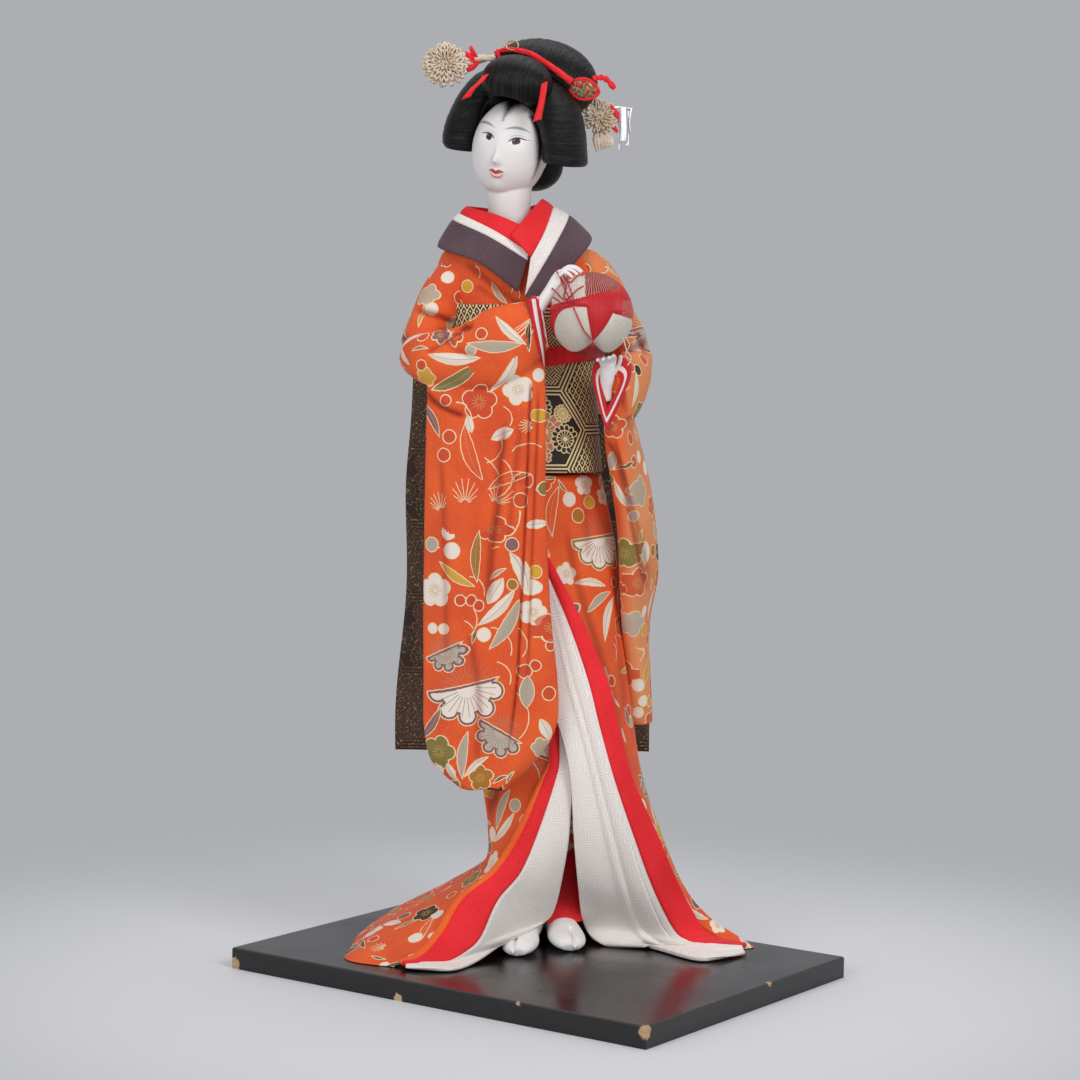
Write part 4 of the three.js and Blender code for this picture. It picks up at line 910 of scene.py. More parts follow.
# The plants that show from the front: kind, x, z, angle, size and colour
PRINTS = {
    "sleeve_right": [
        ("drawn_plum", -55, 386, 10, 4.6, "rust"), ("bud", -55, 377, 0, 3.5, "white"),
        ("plum", -66, 367, 10, 7.2, "grey"), ("leaf", -69, 355, 80, 6, "gold"),
        ("leaf", -72, 344, 47, 9.5, "white"), ("plum", -53, 350, 30, 5, "grey"),
        ("leaf", -69, 338, 10, 4.8, "mauve"), ("leaf", -78, 333, 139, 7.5, "white"),
        ("plum", -65, 322, 0, 5.6, "gold"), ("leaf", -50, 332, 177, 14.5, "white"),
        ("leaf", -28, 339, 180, 14.6, "grey"), ("leaf", -20, 347, 138, 11, "white"),
        ("leaf", -21, 323, 247, 13.6, "white"), ("leaf", -48, 321, 210, 16.4, "olive"),
        ("drawn_plum", -36, 309, 15, 9.7, "rust"), ("plum", -15, 316, 40, 8.4, "white"),
        ("leaf", -10, 345, 90, 8, "black"), ("drawn_plum", -49, 344, 0, 5, "rust"),
        ("ring", -52, 290, 0, 3.7, "rust"), ("ring", -55, 280, 0, 3.7, "rust"),
        ("drawn_leaf", -41, 281, 108, 16, "rust"), ("bud_leaf", -41, 297, 105, 4.6, "white"),
        ("bud_leaf", -23, 292, 25, 6.5, "white"), ("needles", -43, 254, 0, 15, "cream"),
        ("needles", -56, 250, 20, 11, "cream"), ("needles", -27, 254, 340, 12, "cream"),
        ("arc", -44, 262, 5, 20, "cream"), ("arc", -33, 286, 330, 10, "cream"),
        ("arc", -30, 268, 20, 12, "cream"),
        ("drawn_leaf", -20, 268, 20, 12, "rust"), ("arc", -46, 300, 60, 6, "cream"),
        ("arc", -26, 158, 30, 9, "cream"),
        ("bud", -52, 238, 0, 4, "white"), ("bud", -61, 231, 0, 4, "grey"),
        ("bud", -50, 228, 0, 4.4, "white"), ("leaf", -37, 225, 88, 14, "brown"),
        ("drawn_plum", -29, 240, 0, 7.4, "rust"), ("ring", -13, 256, 0, 4, "rust"),
        ("ring", -11, 267, 0, 4.2, "rust"), ("needles", -7, 297, 100, 8, "cream"),
        ("bud_leaf", -4, 243, 10, 5, "white"), ("bud", -3, 302, 0, 3.4, "gold"),
        ("plum", -59, 206, 20, 9.4, "white"), ("leaf", -48, 214, 146, 11.5, "gold"),
        ("ring", -45, 201, 0, 3, "rust"), ("ring", -39, 201, 0, 3, "rust"),
        ("ring", -35, 198, 0, 3, "rust"), ("leaf", -25, 216, 35, 5.5, "grey"),
        ("bud_leaf", -26, 206, 60, 8, "white"), ("leaf", -24, 196, 225, 14, "white"),
        ("leaf", -19, 187, 240, 16, "grey"), ("bud", -32, 182, 0, 3.8, "white"),
        ("leaf", -37, 182, 70, 5, "black"), ("bud", -60, 185, 0, 2.8, "white"),
        ("bud", -54, 185, 0, 2.8, "white"), ("fan", -53, 173, 205, 12, "speck"),
        ("fan", -41, 153, 193, 21, "white"), ("leaf", -12, 217, 285, 11, "white"),
        ("plum", -5, 195, 0, 7.5, "white"), ("bud", -4, 217, 0, 3.5, "gold"),
        ("bud_leaf", -8, 151, 88, 9, "grey"), ("fan", -22, 128, 150, 14, "speck"),
        ("plum", -56, 117, 0, 9.5, "olive"), ("leaf", -43, 116, 84, 13, "grey"),
        ("leaf", -36, 110, 38, 8.4, "white"), ("plum", -33, 103, 20, 7, "brown"),
        ("bud_leaf", -49, 106, 110, 5.4, "white"), ("leaf", -22, 103, 30, 5, "black"),
        ("leaf", -17, 104, 60, 4, "olive"), ("arc", -25, 300, 20, 7, "cream"),
        ("arc", -42, 272, 290, 14, "cream"), ("arc", -29, 174, 35, 12, "cream"),
        ("arc", -18, 177, 10, 10, "cream"), ("arc", -38, 248, 352, 22, "cream"),
        ("arc", -40, 205, 40, 9, "cream"), ("arc", -48, 179, 12, 12, "cream"),
        ("arc", -48, 190, 354, 12, "cream"), ("arc", -23, 137, 4, 16, "cream"),
        ("arc", -8, 300, 80, 7, "cream"), ("arc", -7, 278, 100, 9, "cream"),
        ("arc", -54, 223, 65, 7, "cream"),
    ],
    "kimono_bodice": [
        ("bud", -44, 372, 0, 3.4, "gold"), ("plum", -50, 363, 0, 4.2, "olive"),
        ("leaf", -27, 368, 126, 7, "grey"), ("arc", -41, 379, 20, 4, "cream"),
        ("arc", -23, 370, 30, 4, "cream"), ("arc", -19, 367, 30, 4, "cream"),
    ],
    "kimono_skirt": [
        ("plum", 22, 263, 15, 6.2, "white"), ("leaf", 10, 262, 130, 4.6, "mauve"),
        ("bud", 14, 255, 0, 4, "white"), ("bud", 25, 253, 0, 3.6, "gold"),
        ("plum", 33, 256, 0, 5, "white"), ("drawn_plum", 26, 270, 0, 7.4, "rust"),
        ("fan_olive", 31, 233, 186, 18, "white"), ("leaf", 27, 209, 352, 10, "white"),
        ("leaf", 31, 199, 28, 11, "grey"), ("leaf", 36, 189, 58, 14, "white"),
        ("leaf", 43, 197, 95, 9, "white"), ("plum", 13, 214, 10, 6.4, "white"),
        ("leaf", 42, 142, 130, 3.2, "white"), ("leaf", 46, 124, 100, 4.2, "white"),
        ("leaf", 36, 159, 110, 3.6, "olive"), ("drawn_leaf", 4, 249, 80, 14, "rust"),
        ("arc", 39, 174, 352, 7, "cream"), ("arc", 39, 170, 356, 6, "cream"),
        ("needles", 3, 222, 40, 8, "cream"), ("leaf", 3, 267, 0, 4, "black"),
        ("fan", 0, 112, 345, 13, "white"), ("plum", -30, 88, 0, 4.6, "gold"),
        ("bud_leaf", -31, 78, 110, 4, "white"), ("leaf", -22, 80, 70, 12.5, "grey"),
        ("bud", -14, 83, 0, 3.7, "grey"), ("leaf", -20, 69, 232, 11.5, "white"),
        ("leaf", -29, 70, 170, 4, "grey"), ("leaf", -29, 59, 110, 4, "white"),
        ("arc", -11, 98, 35, 12, "cream"), ("leaf", -39, 32, 55, 8, "white"),
        ("leaf", -74, 16, 65, 7, "olive"), ("plum", -83, 17, 0, 5, "gold"),
        ("bud", -91, 13, 0, 3, "white"), ("leaf", -98, 6, 170, 7, "black"),
        ("leaf", -88, 3, 172, 5, "black"), ("leaf", -67, -0, 30, 9, "black"),
        ("drawn_leaf", -63, 16, 110, 9, "white"), ("bud", -58, 14, 0, 3, "white"),
        ("leaf", -60, 27, 30, 4, "black"), ("leaf", 90, 19, 150, 8, "white"),
        ("plum", 102, 12, 0, 5, "white"), ("leaf", 69, 55, 120, 5, "black"),
    ],
    "sleeve_left": [
        ("leaf", 46, 275, 25, 5.6, "black"), ("plum", 53, 260, 10, 9, "grey"),
        ("leaf", 42, 258, 120, 8.6, "white"), ("bud_leaf", 57, 225, 95, 7, "white"),
        ("leaf", 54, 235, 90, 4, "gold"), ("leaf", 61, 207, 110, 4, "gold"),
        ("bud", 56, 124, 0, 3, "white"), ("bud", 55, 149, 0, 3.5, "white"),
        ("bud", 58, 140, 0, 3, "white"), ("plum", 50, 185, 0, 8, "speck"),
        ("arc", 50, 166, 10, 6, "cream"), ("arc", 29, 386, 320, 6, "cream"),
        ("leaf", 36, 382, 320, 5, "grey"),
    ],
}


def room_for(taken, slots, faces):
    """The first of some print slots whose faces are still bare, or None."""
    for slot in slots:
        if not taken[slot][faces].any():
            return slot
    return None


def print_plants(made, marks, count, seed, faded=None):
    """Prints plants on a cloth piece: the marks, seen from the front, then up to count more in its free room.

    Every face keeps, for each print slot, the plant that covers it and where in it its corners are."""
    mesh = made.data
    p, n = places(made), normals(made)
    totals = np.empty(len(mesh.polygons), int)
    mesh.polygons.foreach_get("loop_total", totals)
    starts = np.concatenate([[0], np.cumsum(totals)[:-1]])
    corner = np.empty(len(mesh.loops), int)
    mesh.loops.foreach_get("vertex_index", corner)
    of_face = np.repeat(np.arange(len(totals)), totals)
    tree = BVHTree.FromPolygons(p.tolist(), [corner[a : a + k].tolist() for a, k in zip(starts, totals)])
    taken = {slot: np.zeros(len(totals), bool) for slot in SLOTS}
    local = {slot: np.tile([1e3, 1e3, 1.0], (len(corner), 1)) for slot in SLOTS}
    describe = {slot: np.tile([1.0, 0.0, 0.0, 0.0], (len(totals), 1)) for slot in SLOTS}
    centres = []

    def lay(kind, centre, normal, angle, size, tint, forced):
        family, first, second, style = KINDS[kind.replace("_olive", "")]
        if kind == "fan_olive":
            second = 0.68
        across = unit(np.cross([0, 0, 1], normal) + [1e-6, 0, 0])
        up = np.cross(normal, across)
        c, s = math.cos(math.radians(angle)), math.sin(math.radians(angle))
        off = p - centre
        x, y = off @ (c * across + s * up), off @ (c * up - s * across)
        within = np.hypot(x, y) < size * 1.1 + 1.2
        near = within & (np.abs(off @ normal) < size * 0.9 + 4) & (n @ normal > 0.1)
        faces = np.flatnonzero(np.maximum.reduceat(near[corner], starts))
        slots = [slot for slot in SLOTS if slot.startswith(family)]
        slot = room_for(taken, slots, faces)
        if slot is None and forced:
            slot = min(slots, key=lambda k: taken[k][faces].sum())
            faces = faces[~taken[slot][faces]]
        if slot is None or len(faces) == 0:
            return False
        taken[slot][faces] = True
        mine = np.isin(of_face, faces)
        local[slot][mine] = np.stack([x, y, np.full(len(x), size)], -1)[corner[mine]]
        describe[slot][faces] = [first, second, (list(TINTS).index(tint) + 0.5) / 10, style]
        centres.append([*centre, size * (0.8 if family == "bloom" else 0.5)])
        return True

    for kind, x, z, angle, size, tint in marks:
        hit, normal, *_ = tree.ray_cast((x, -300, z), (0, 1, 0))
        if hit is None:
            hit, normal, *_ = tree.find_nearest((x, -60, z))
        lay(kind, np.array(hit), np.array(normal), angle, size, tint, True)

    rng = np.random.default_rng(seed)
    mix = [("plum", 5, 9), ("bud", 3, 4.2), ("leaf", 8, 14), ("leaf", 7, 12), ("drawn_plum", 6, 9),
           ("fan", 13, 19), ("needles", 8, 13), ("bud_leaf", 5, 8), ("arc", 7, 16), ("drawn_leaf", 9, 14),
           ("ring", 3, 4)]
    tints = ["white", "white", "white", "grey", "white", "gold", "olive", "black", "speck", "mauve", "brown"]
    for pick in rng.integers(0, len(p), count * 12):
        kind, low, high = mix[rng.integers(len(mix))]
        size, angle, tint = rng.uniform(low, high), rng.uniform(0, 360), tints[rng.integers(len(tints))]
        if kind == "fan":
            angle, tint = rng.uniform(150, 210), "speck" if rng.random() < 0.3 else "white"
        if len(centres) >= count + len(marks):
            break
        room = size * (0.8 if kind != "leaf" else 0.55)
        known = np.array(centres) if centres else np.zeros((0, 4))
        if len(known) and (np.linalg.norm(known[:, :3] - p[pick], axis=1) < known[:, 3] + room).any():
            continue
        lay(kind, p[pick], n[pick], angle, size, tint, False)

    for slot in SLOTS:
        corners = mesh.attributes.new(slot + "_at", "FLOAT_VECTOR", "CORNER")
        corners.data.foreach_set("vector", local[slot].ravel())
        plants = mesh.attributes.new(slot + "_as", "FLOAT_COLOR", "FACE")
        plants.data.foreach_set("color", describe[slot].ravel())
    pale = np.zeros(len(p)) if faded is None else np.clip(faded(p), 0, 1)
    mesh.attributes.new("faded", "FLOAT", "POINT").data.foreach_set("value", pale)
    return made


def dress(made, finish_material, slot, *nodes):
    """Gives a finished piece its material and its place on the part."""
    if finish_material:
        made.data.materials.clear()
        made.data.materials.append(finish_material)
    if nodes:
        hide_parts(*nodes)
    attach(made, "root")
    return made


# The skirt's front edges: nested guide curves from the waist down to the hem
EDGE = {
    "white_left": [[16, -8, 150], [16, -9, 114], [18, -10, 99], [16.4, -8, 67], [12.9, 0, 42], [9.8, 8, 26],
                   [6, 13, 16.5], [-1.5, 2, 13.4], [-20, -13, 6.5], [-35, -36, 1.6], [-48, -53, 1.6],
                   [-72, -50, 1.6]],
    "red_left": [[8, -8, 150], [10, -9, 113], [8, -10, 99], [-2, -12, 68], [-10.6, -16, 48], [-23, -21, 33],
                 [-32, -28, 14], [-40, -35, 7.5], [-49, -41, 4], [-57, -44, 3.2], [-64, -46, 3.2],
                 [-72, -46, 3]],
    "orange_left": [[4, -8, 150], [5, -9, 113], [1.5, -9, 99], [-10, -11, 70], [-23.5, -15, 49],
                    [-42, -18, 33.5],
                    [-52, -24, 17.6], [-60, -32, 8], [-66, -38, 4], [-70, -42, 3.2], [-73, -44, 3.2],
                    [-75, -44.5, 3]],
    "white_right": [[-6, -12, 222], [-1, -14.5, 186], [3.5, -15.5, 150], [12.8, -15.5, 121], [17, -14.5, 99],
                    [19, -10, 69], [22, 2, 39], [26, 28, 11], [35, 17, 1.8], [62, 9, 1.8], [90, -21, 1.8],
                    [116, -3, 1.8]],
    "red_right": [[0, -12.5, 222], [14, -15, 189], [25.5, -16.5, 157], [32.6, -16.5, 130], [41.4, -14.5, 100],
                  [53.7, -10, 65], [64, -4, 38], [76, 2, 14], [84, 1, 7.6], [94, 0, 5.8], [104, 0, 4.8],
                  [115, 2, 3.8]],
    "orange_right": [[2, -12.5, 224], [21, -14.5, 190], [36, -14, 157], [43.5, -12, 128], [52, -9, 99],
                     [66, -3, 68], [77.5, 5, 41], [91, 13, 15], [98, 14, 7.5], [105, 13, 5], [112, 12, 4],
                     [118, 10, 3.2]],
}


def between(left, right, count_u, count_v, relief):
    """A grid between two guide curves, moved forwards by relief(u, v)."""
    u, v = field(count_u, count_v)
    a, b = along(EDGE[left], v), along(EDGE[right], v)
    p = a + (b - a) * u[..., None]
    p[..., 1] -= relief(u, v)
    return p


def inner_cloth(name, left, right, steps, thickness, finish_material, slot, folds):
    """A cloth that hangs between two of the skirt's guide curves."""
    made = shell(name, panel(between(left, right, steps, 200, folds), thickness))
    return dress(made, finish_material, slot, name)


def under_robes():
    def right_folds(u, v):
        soft = 1.0 * np.sin(u * math.pi * 3) + 1.3 * bump(u, 0.52 + 0.1 * v, 0.05) - 1.2 * bump(u, 0.66, 0.05)
        return soft * smooth(v, 0, 0.5) - 0.7 * bump(u, 0.9, 0.014)

    def left_folds(u, v):
        return 0.8 * np.sin(u * 5) * v

    damask_cloth = (WHITE, "white_damask")
    inner_cloth("under_robe_right", "white_right", "red_right", 120, CLOTH, *damask_cloth, right_folds)
    inner_cloth("under_robe_left", "white_left", "red_left", 40, CLOTH - 0.4, *damask_cloth, left_folds)


def linings():
    def right_folds(u, v):
        return 1.2 * np.sin(u * math.pi) + 1.0 * np.sin(u * 6 + 1) * bump(v, 0.5, 0.3)

    def left_folds(u, _):
        return 1.2 * np.sin(u * math.pi)

    red_cloth = (RED, "red_crepe")
    inner_cloth("lining_right", "red_right", "orange_right", 24, CLOTH + 0.6, *red_cloth, right_folds)
    inner_cloth("lining_left", "red_left", "orange_left", 24, CLOTH + 0.4, *red_cloth, left_folds)


# The outer skirt: its outline at eleven heights
SKIRT_ROWS = [
    [268, (31, 18), (24, 40), (-4, 47), (-32, 40), (-38, 18), (0, -8), (-7, -8), (-3.5, -8)],
    [222, (40, 15), (31, 45), (-1, 54), (-33, 45), (-42, 15), (1, -11), (-5, -11), (-2, -10.6)],
    [180, (45, 16), (37, 50), (0, 60), (-35, 50), (-42, 15), (27, -13), (-4, -11), (13, -9.5)],
    [127, (53, 18), (42, 54), (3, 65), (-32, 54), (-38, 15), (44, -10.5), (4, -8), (26, -8)],
    [99, (58, 19), (46, 56), (5, 67), (-27, 53), (-34, 16), (52, -7.5), (1.5, -7.5), (27, -5)],
    [68, (68, 21), (53, 58), (6, 71), (-22, 54), (-30, 18), (65, -1.5), (-10, -9.5), (27, 4)],
    [45, (77, 23), (59, 60), (6, 78), (-24, 62), (-33, 21), (75, 4), (-25, -12.5), (18, 36)],
    [27, (87, 25), (64, 61), (5, 88), (-46, 74), (-58, 22), (84, 10), (-45, -18), (13, 60)],
    [14, (100, 26), (69, 61), (3, 98), (-68, 76), (-86, 8), (93, 15), (-57, -27), (12, 66)],
    [5, (114, 24), (73, 62), (1, 103), (-84, 68), (-101, -12), (107, 14), (-70, -39), (11, 68)],
    [0.4, (121, 22), (74, 62), (0, 105), (-90, 62), (-108, -21), (117, 12), (-80, -44), (10, 69)],
]


def kimono_skirt():
    around, down = 260, 150
    column = [np.array([[*row[k], row[0]] for row in SKIRT_ROWS], float) for k in (6, 1, 2, 3, 4, 5, 7)]
    notch = np.array([[*row[8], row[0]] for row in SKIRT_ROWS], float)
    t, s = share(down), share(around)
    guides = np.stack([along(c, t) for c in column], 1)
    outer = np.stack([along(g, s) for g in guides])
    away = unit((outer - [3, 30, 0]) * [1, 1, 0])
    ss, tt = s[None, :], t[:, None]
    back = np.sin(math.pi * ss) ** 2
    wave = back * np.cos(ss * 14 * math.pi) * 2.6 * tt - 1.3 * tt
    wave = wave + 0.5 * rumple(outer, 60, 3) * smooth(np.minimum(ss, 1 - ss), 0, 0.05)
    outer = outer + away * wave[..., None]
    middle = along(notch, t)
    inset = np.stack([outer[:, -1] + (middle - outer[:, -1]) * k for k in share(8)[:-1]], 1)
    inset2 = np.stack([middle + (outer[:, 0] - middle) * k for k in share(8)], 1)
    rings = np.concatenate([outer, inset[:, 1:], inset2], 1)
    made = shell("kimono_skirt", closed(rings))
    for path, depth, width, step in SKIRT_FOLDS:
        crease(made, path, depth, width, step)

    def faded(p):
        # a paler orange over the skirt's lower right front
        return 0.5 * smooth(p[:, 0], 45, 75) * smooth(p[:, 2], 20, 60)

    print_plants(made, PRINTS["kimono_skirt"], 330, 5, faded)
    return dress(made, KIMONO, "orange_crepe", "kimono_skirt")


# The skirt's folds as seen from the front, like the sleeves'
SKIRT_FOLDS = [
    ([[12.2, 242.7], [17.5, 216.8], [24.5, 194.8], [32, 172.7], [42.5, 133.9], [51, 89.3]], 1.6, 2.4, 0.8),
    ([[42, 227.3], [44.2, 188.3], [47.9, 132.3]], 1.5, 3.0, 0),
    ([[25.1, 267.6], [24.3, 244.4], [25.7, 222.3]], 1.0, 2.6, 0),
    ([[-11.7, 132.9], [-17, 110.4], [-26.7, 87.9], [-35.9, 65.3]], 1.8, 3.2, 0.6),
    ([[-24, 96], [-33, 66], [-50, 38], [-76, 16]], 1.6, 4.0, 0),
    ([[62, 96], [76, 52], [95, 22]], 1.2, 4.0, 0),
]


def folded_edge():
    """The outer skirt's left front edge, turned under as a narrow plain band."""
    u, v = field(10, 220)
    p = along(EDGE["orange_left"], v)
    wide = 4.2 * smooth(v, 0.05, 0.3) * (1 - 0.7 * smooth(v, 0.8, 1))
    p = p + np.stack([-u * wide + 0.4, -1.0 - 0.7 * np.sin(math.pi * u) + 1.4 * u**2,
                      0.5 * u * wide * smooth(v, 0.3, 1)], -1)
    return dress(shell("skirt_edge", panel(p, 0.9)), BRIGHT_EDGE, "orange_crepe")


def underskirt():
    stations = [[6, 14, 150, 15, 12], [7, 22, 100, 16, 15], [8, 32, 55, 17, 17], [9, 37, 28, 18, 19],
                [10, 39, 12.6, 20, 21]]
    t = share(40)
    p = along(stations, t)
    rings = oval(p, p[:, 3], p[:, 4], 64, 1.1)
    made = shell("underskirt", closed(rings))
    return dress(made, RED, "red_crepe", "underskirt")


def foot(name, heel, heading, node):
    ahead = np.array([math.sin(heading), -math.cos(heading)])
    side = np.array([-ahead[1], ahead[0]])
    profile = [[0, 5, 12], [0.12, 8.5, 24], [0.45, 8, 19], [0.72, 10.6, 12], [0.92, 9, 8.6], [1, 5.4, 5]]
    stations = [[*(heel + ahead * 52 * k), height / 2 + 0.2, half, height / 2] for k, half, height in profile]
    made = grown(name, [closed(limb(stations, 24, 24))], 0.9, 3)
    p = places(made)
    local = p[:, :2] - heel
    out = local @ side - 1.8 * math.copysign(1, heading)
    toes = local @ ahead > 52 * 0.74
    p[:, 2] -= np.where(toes, 2.6 * np.exp(-((out / 0.9) ** 2)) * smooth(p[:, 2], 2, 5), 0)
    p[:, 2] = np.maximum(p[:, 2], 0.2)
    move(made, p)
    return dress(made, SOCK, "white_sock", node)


def feet():
    foot("foot_right", [-4, 36], math.radians(-9), "foot_right")
    foot("foot_left", [8, 50], math.radians(12), "foot_left")


# The bodice, and the sash that is wound on it: centre, height and half widths
BODICE = [
    [-4, 20, 270, 33, 26], [-7, 20, 300, 33.5, 26], [-11, 20, 335, 36, 26], [-14, 20, 362, 41, 26],
    [-16, 20, 378, 45, 25], [-18, 21, 390, 41, 24], [-19, 22, 398, 31, 21], [-20, 23, 404, 22, 17],
]


def kimono_bodice():
    p = along(BODICE, share(120))
    made = shell("kimono_bodice", closed(oval(p, p[:, 3], p[:, 4], 160, 1.15)))
    crease(made, [[-46, 387], [-31.4, 374.4], [-19.1, 364.7], [-12, 360]], 1.8, 2.2, 1.2)
    crease(made, [[-40, 372], [-30, 366], [-22, 361]], 1.0, 2.0)
    print_plants(made, PRINTS["kimono_bodice"], 40, 9)
    return dress(made, KIMONO, "orange_crepe", "kimono_bodice")


# The x and z of the sash's front from which its pattern is laid out
SASH_MIDDLE = (-3.9, 293.7)


def sash_rings(heights, wall):
    """Rings at heights round the waist, a wall's thickness off the body."""
    z = np.asarray(heights, float)
    p = along(BODICE[:4], (z - OBI["bottom"]) / (OBI["top"] - OBI["bottom"]))
    centre = np.stack([p[:, 0], p[:, 1], z], -1)
    return oval(centre, p[:, 3] + wall, p[:, 4] + wall, 120, 1.15)


def ring_wall(rings):
    """A band of cloth from rings round its wall, with its pattern laid out from SASH_MIDDLE."""
    x, z = SASH_MIDDLE
    middle = rings[len(rings) // 4]
    front = np.argmin(np.abs(middle[:, 0] - x) + 100 * (middle[:, 1] > 20))
    around = lengths(rings, 1)
    up = np.repeat(rings[:, :1, 2], rings.shape[1], 1) - z
    return [(rings, np.stack([around - around[:, front : front + 1], up], -1))]


def obi():
    z = np.linspace(OBI["bottom"], OBI["top"], 48)
    outside = sash_rings(z, OBI["wall"])
    inside = sash_rings(z[::-1], 0.4)
    made = shell("obi", ring_wall(np.concatenate([outside, inside, outside[:1]])))
    return dress(made, OBI_CLOTH, "brocade", "obi")


def obi_cord():
    turn = share(20) * 2 * math.pi
    heights = 332 + 5.6 * np.sin(turn)
    wall = OBI["wall"] + 1.8 + 2.2 * np.cos(turn)
    z = heights[:, None]
    p = along(BODICE[:4], (334 - OBI["bottom"]) / (OBI["top"] - OBI["bottom"]))
    a = share(160)[None, :] * 2 * math.pi
    puff = 1 + 0.32 * np.sin(a * 31 + 2 * np.sin(a * 5) + turn[:, None]) + 0.14 * np.sin(a * 13)
    off = OBI["wall"] + 1.4 + (wall[:, None] - OBI["wall"] - 1.4) * puff
    c = np.sign(np.cos(a)) * np.abs(np.cos(a)) ** (1 / 1.15)
    s = np.sign(np.sin(a)) * np.abs(np.sin(a)) ** (1 / 1.15)
    x = p[0] + c * (p[3] + off)
    y = p[1] + s * (p[4] + off)
    z = z + 5.5 * np.maximum(c, -0.2) - 0.25 * (heights - 332)[:, None] * np.maximum(c, 0)
    made = shell("obi_cord", ring_wall(np.stack([x, y, z], -1)))
    return dress(made, RED, "red_crepe", "obi_cord")


def obi_knot():
    u, v = field(60, 48)
    p = np.stack([-8 + (u - 0.5) * 84, 60 + 5 * np.sin(math.pi * u) - 4 * (1 - v), 300 + v * 68], -1)
    made = shell("obi_knot", panel(p, 14))
    return dress(made, OBI_CLOTH, "brocade", "obi_knot")


def obi_tail(name, top, bottom, rear, lean):
    u, v = field(60, 150)
    across = (u - 0.5) * TAIL["width"] * (0.9 + 0.1 * v)
    ripple = 1.8 * np.sin(u * math.pi * 3 + lean * 20) * v
    sway = 1.6 * np.sin(v * 11 + lean * 30) * smooth(v, 0.1, 0.4)
    p = np.stack([top + (bottom - top) * v + across + sway, rear + across * lean + ripple + 4 * v,
                  TAIL["top"] + (TAIL["bottom"] - TAIL["top"]) * v], -1)
    chart = np.stack([(u - 0.5) * TAIL["width"], v * (TAIL["top"] - TAIL["bottom"])], -1)
    made = shell(name, panel(p, TAIL["thickness"], chart))
    dress(made, TAIL_CLOTH, "brocade", name)
    return made


# The sleeves
SLEEVE_RIGHT = {
    "upper": [[-47, 18, 381, 12, 15], [-57, 12, 368, 12.5, 14], [-64, 4, 352, 12, 13],
              [-70, -4, 338, 11, 12]],
    "fore": [[-72, -7, 335, 11, 11], [-62, -19, 332, 13, 15], [-42, -28, 333, 10, 18], [-22, -31, 342, 9, 20],
             [-5, -31, 352, 7.6, 14]],
}
BAG_RIGHT = [[350, -36, -6], [335, -58, -1], [316, -64, 0], [290, -65, 0.5], [240, -65.5, 1.5],
             [190, -65.5, 5],
             [155, -65, 9], [130, -64.5, 8], [111, -60, -4], [96, -44, -20]]
BAG_FRONT = {"y": -26.5, "half": 4.6, "taper": 1.4, "fold": 2.2}


def sleeve_right():
    t = share(100)[:, None]
    z, left, right = (along(BAG_RIGHT, t[:, 0])[:, k][:, None] for k in range(3))
    s = np.concatenate([share(40), share(40)[::-1]])[None, :]
    side = np.concatenate([-np.ones(41), np.ones(41)])[None, :]
    half = BAG_FRONT["half"] - BAG_FRONT["taper"] * t
    edge = half * np.minimum(1, 5 * np.minimum(s, 1 - s) + 0.25)
    fold = BAG_FRONT["fold"] * np.cos(s * math.pi * 3.2 + 0.4) * np.minimum(1, t * 3)
    bag = np.stack([left + (right - left) * s, BAG_FRONT["y"] + fold + side * edge, z + 0 * s], -1)
    bag = np.concatenate([bag, bag[:, :1]], 1)
    upper = closed(limb(SLEEVE_RIGHT["upper"], 40, 30, (0, 1, 0)))
    fore = closed(limb(SLEEVE_RIGHT["fore"], 48, 40))
    made = grown("sleeve_right", [closed(bag), upper, fore], 1.1, 4)
    for path, depth, width, step in SLEEVE_RIGHT_FOLDS:
        crease(made, path, depth, width, step)
    lay_flat(made)
    print_plants(made, PRINTS["sleeve_right"], 110, 3)
    return dress(made, KIMONO, "orange_crepe", "sleeve_right")


# Folds as seen from the front: a path of x and z, its depth and half width, and the step across it
SLEEVE_RIGHT_FOLDS = [
    ([[-72.9, 358.4], [-63.6, 356.9], [-56, 354.3], [-48.3, 350], [-41.7, 349]], 2.4, 1.9, 1.4),
    ([[-66.2, 334.6], [-57.6, 340.6], [-49, 346.2], [-38.8, 351.2]], 1.8, 2.0, -1.2),
    ([[-78.1, 324.7], [-71.5, 320.4], [-60.5, 308.7], [-50.7, 303.4], [-43.1, 301.3]], 2.6, 1.9, 1.6),
    ([[-7.4, 322], [-8.1, 312], [-8.8, 294.2], [-10.3, 245.3], [-11.9, 201.6], [-14, 152.2], [-19.5, 110]],
     2.6, 0.9, 1.3),
    ([[-3.4, 318], [-3.8, 290], [-5.2, 245], [-6.8, 200], [-8.8, 152]], 1.8, 0.8, 0),
    ([[-21.9, 299], [-24.3, 277.7], [-25.2, 255.9], [-28.1, 228.5], [-29.9, 195]], 2.2, 2.4, 1.0),
    ([[-13.7, 298], [-17.1, 266.9], [-19.5, 236]], 1.2, 1.6, 0),
    ([[-56.9, 279], [-54.2, 222.7], [-52.6, 165]], 1.2, 2.6, 0.4),
    ([[-39.5, 183], [-33.7, 146.1], [-34.4, 109]], 1.4, 2.4, 0.5),
    ([[-46, 292], [-41, 262], [-41, 225], [-44, 190]], -1.4, 5.0, 0),
    ([[-58, 348], [-50, 338], [-38, 333]], 1.2, 2.0, 0),
]


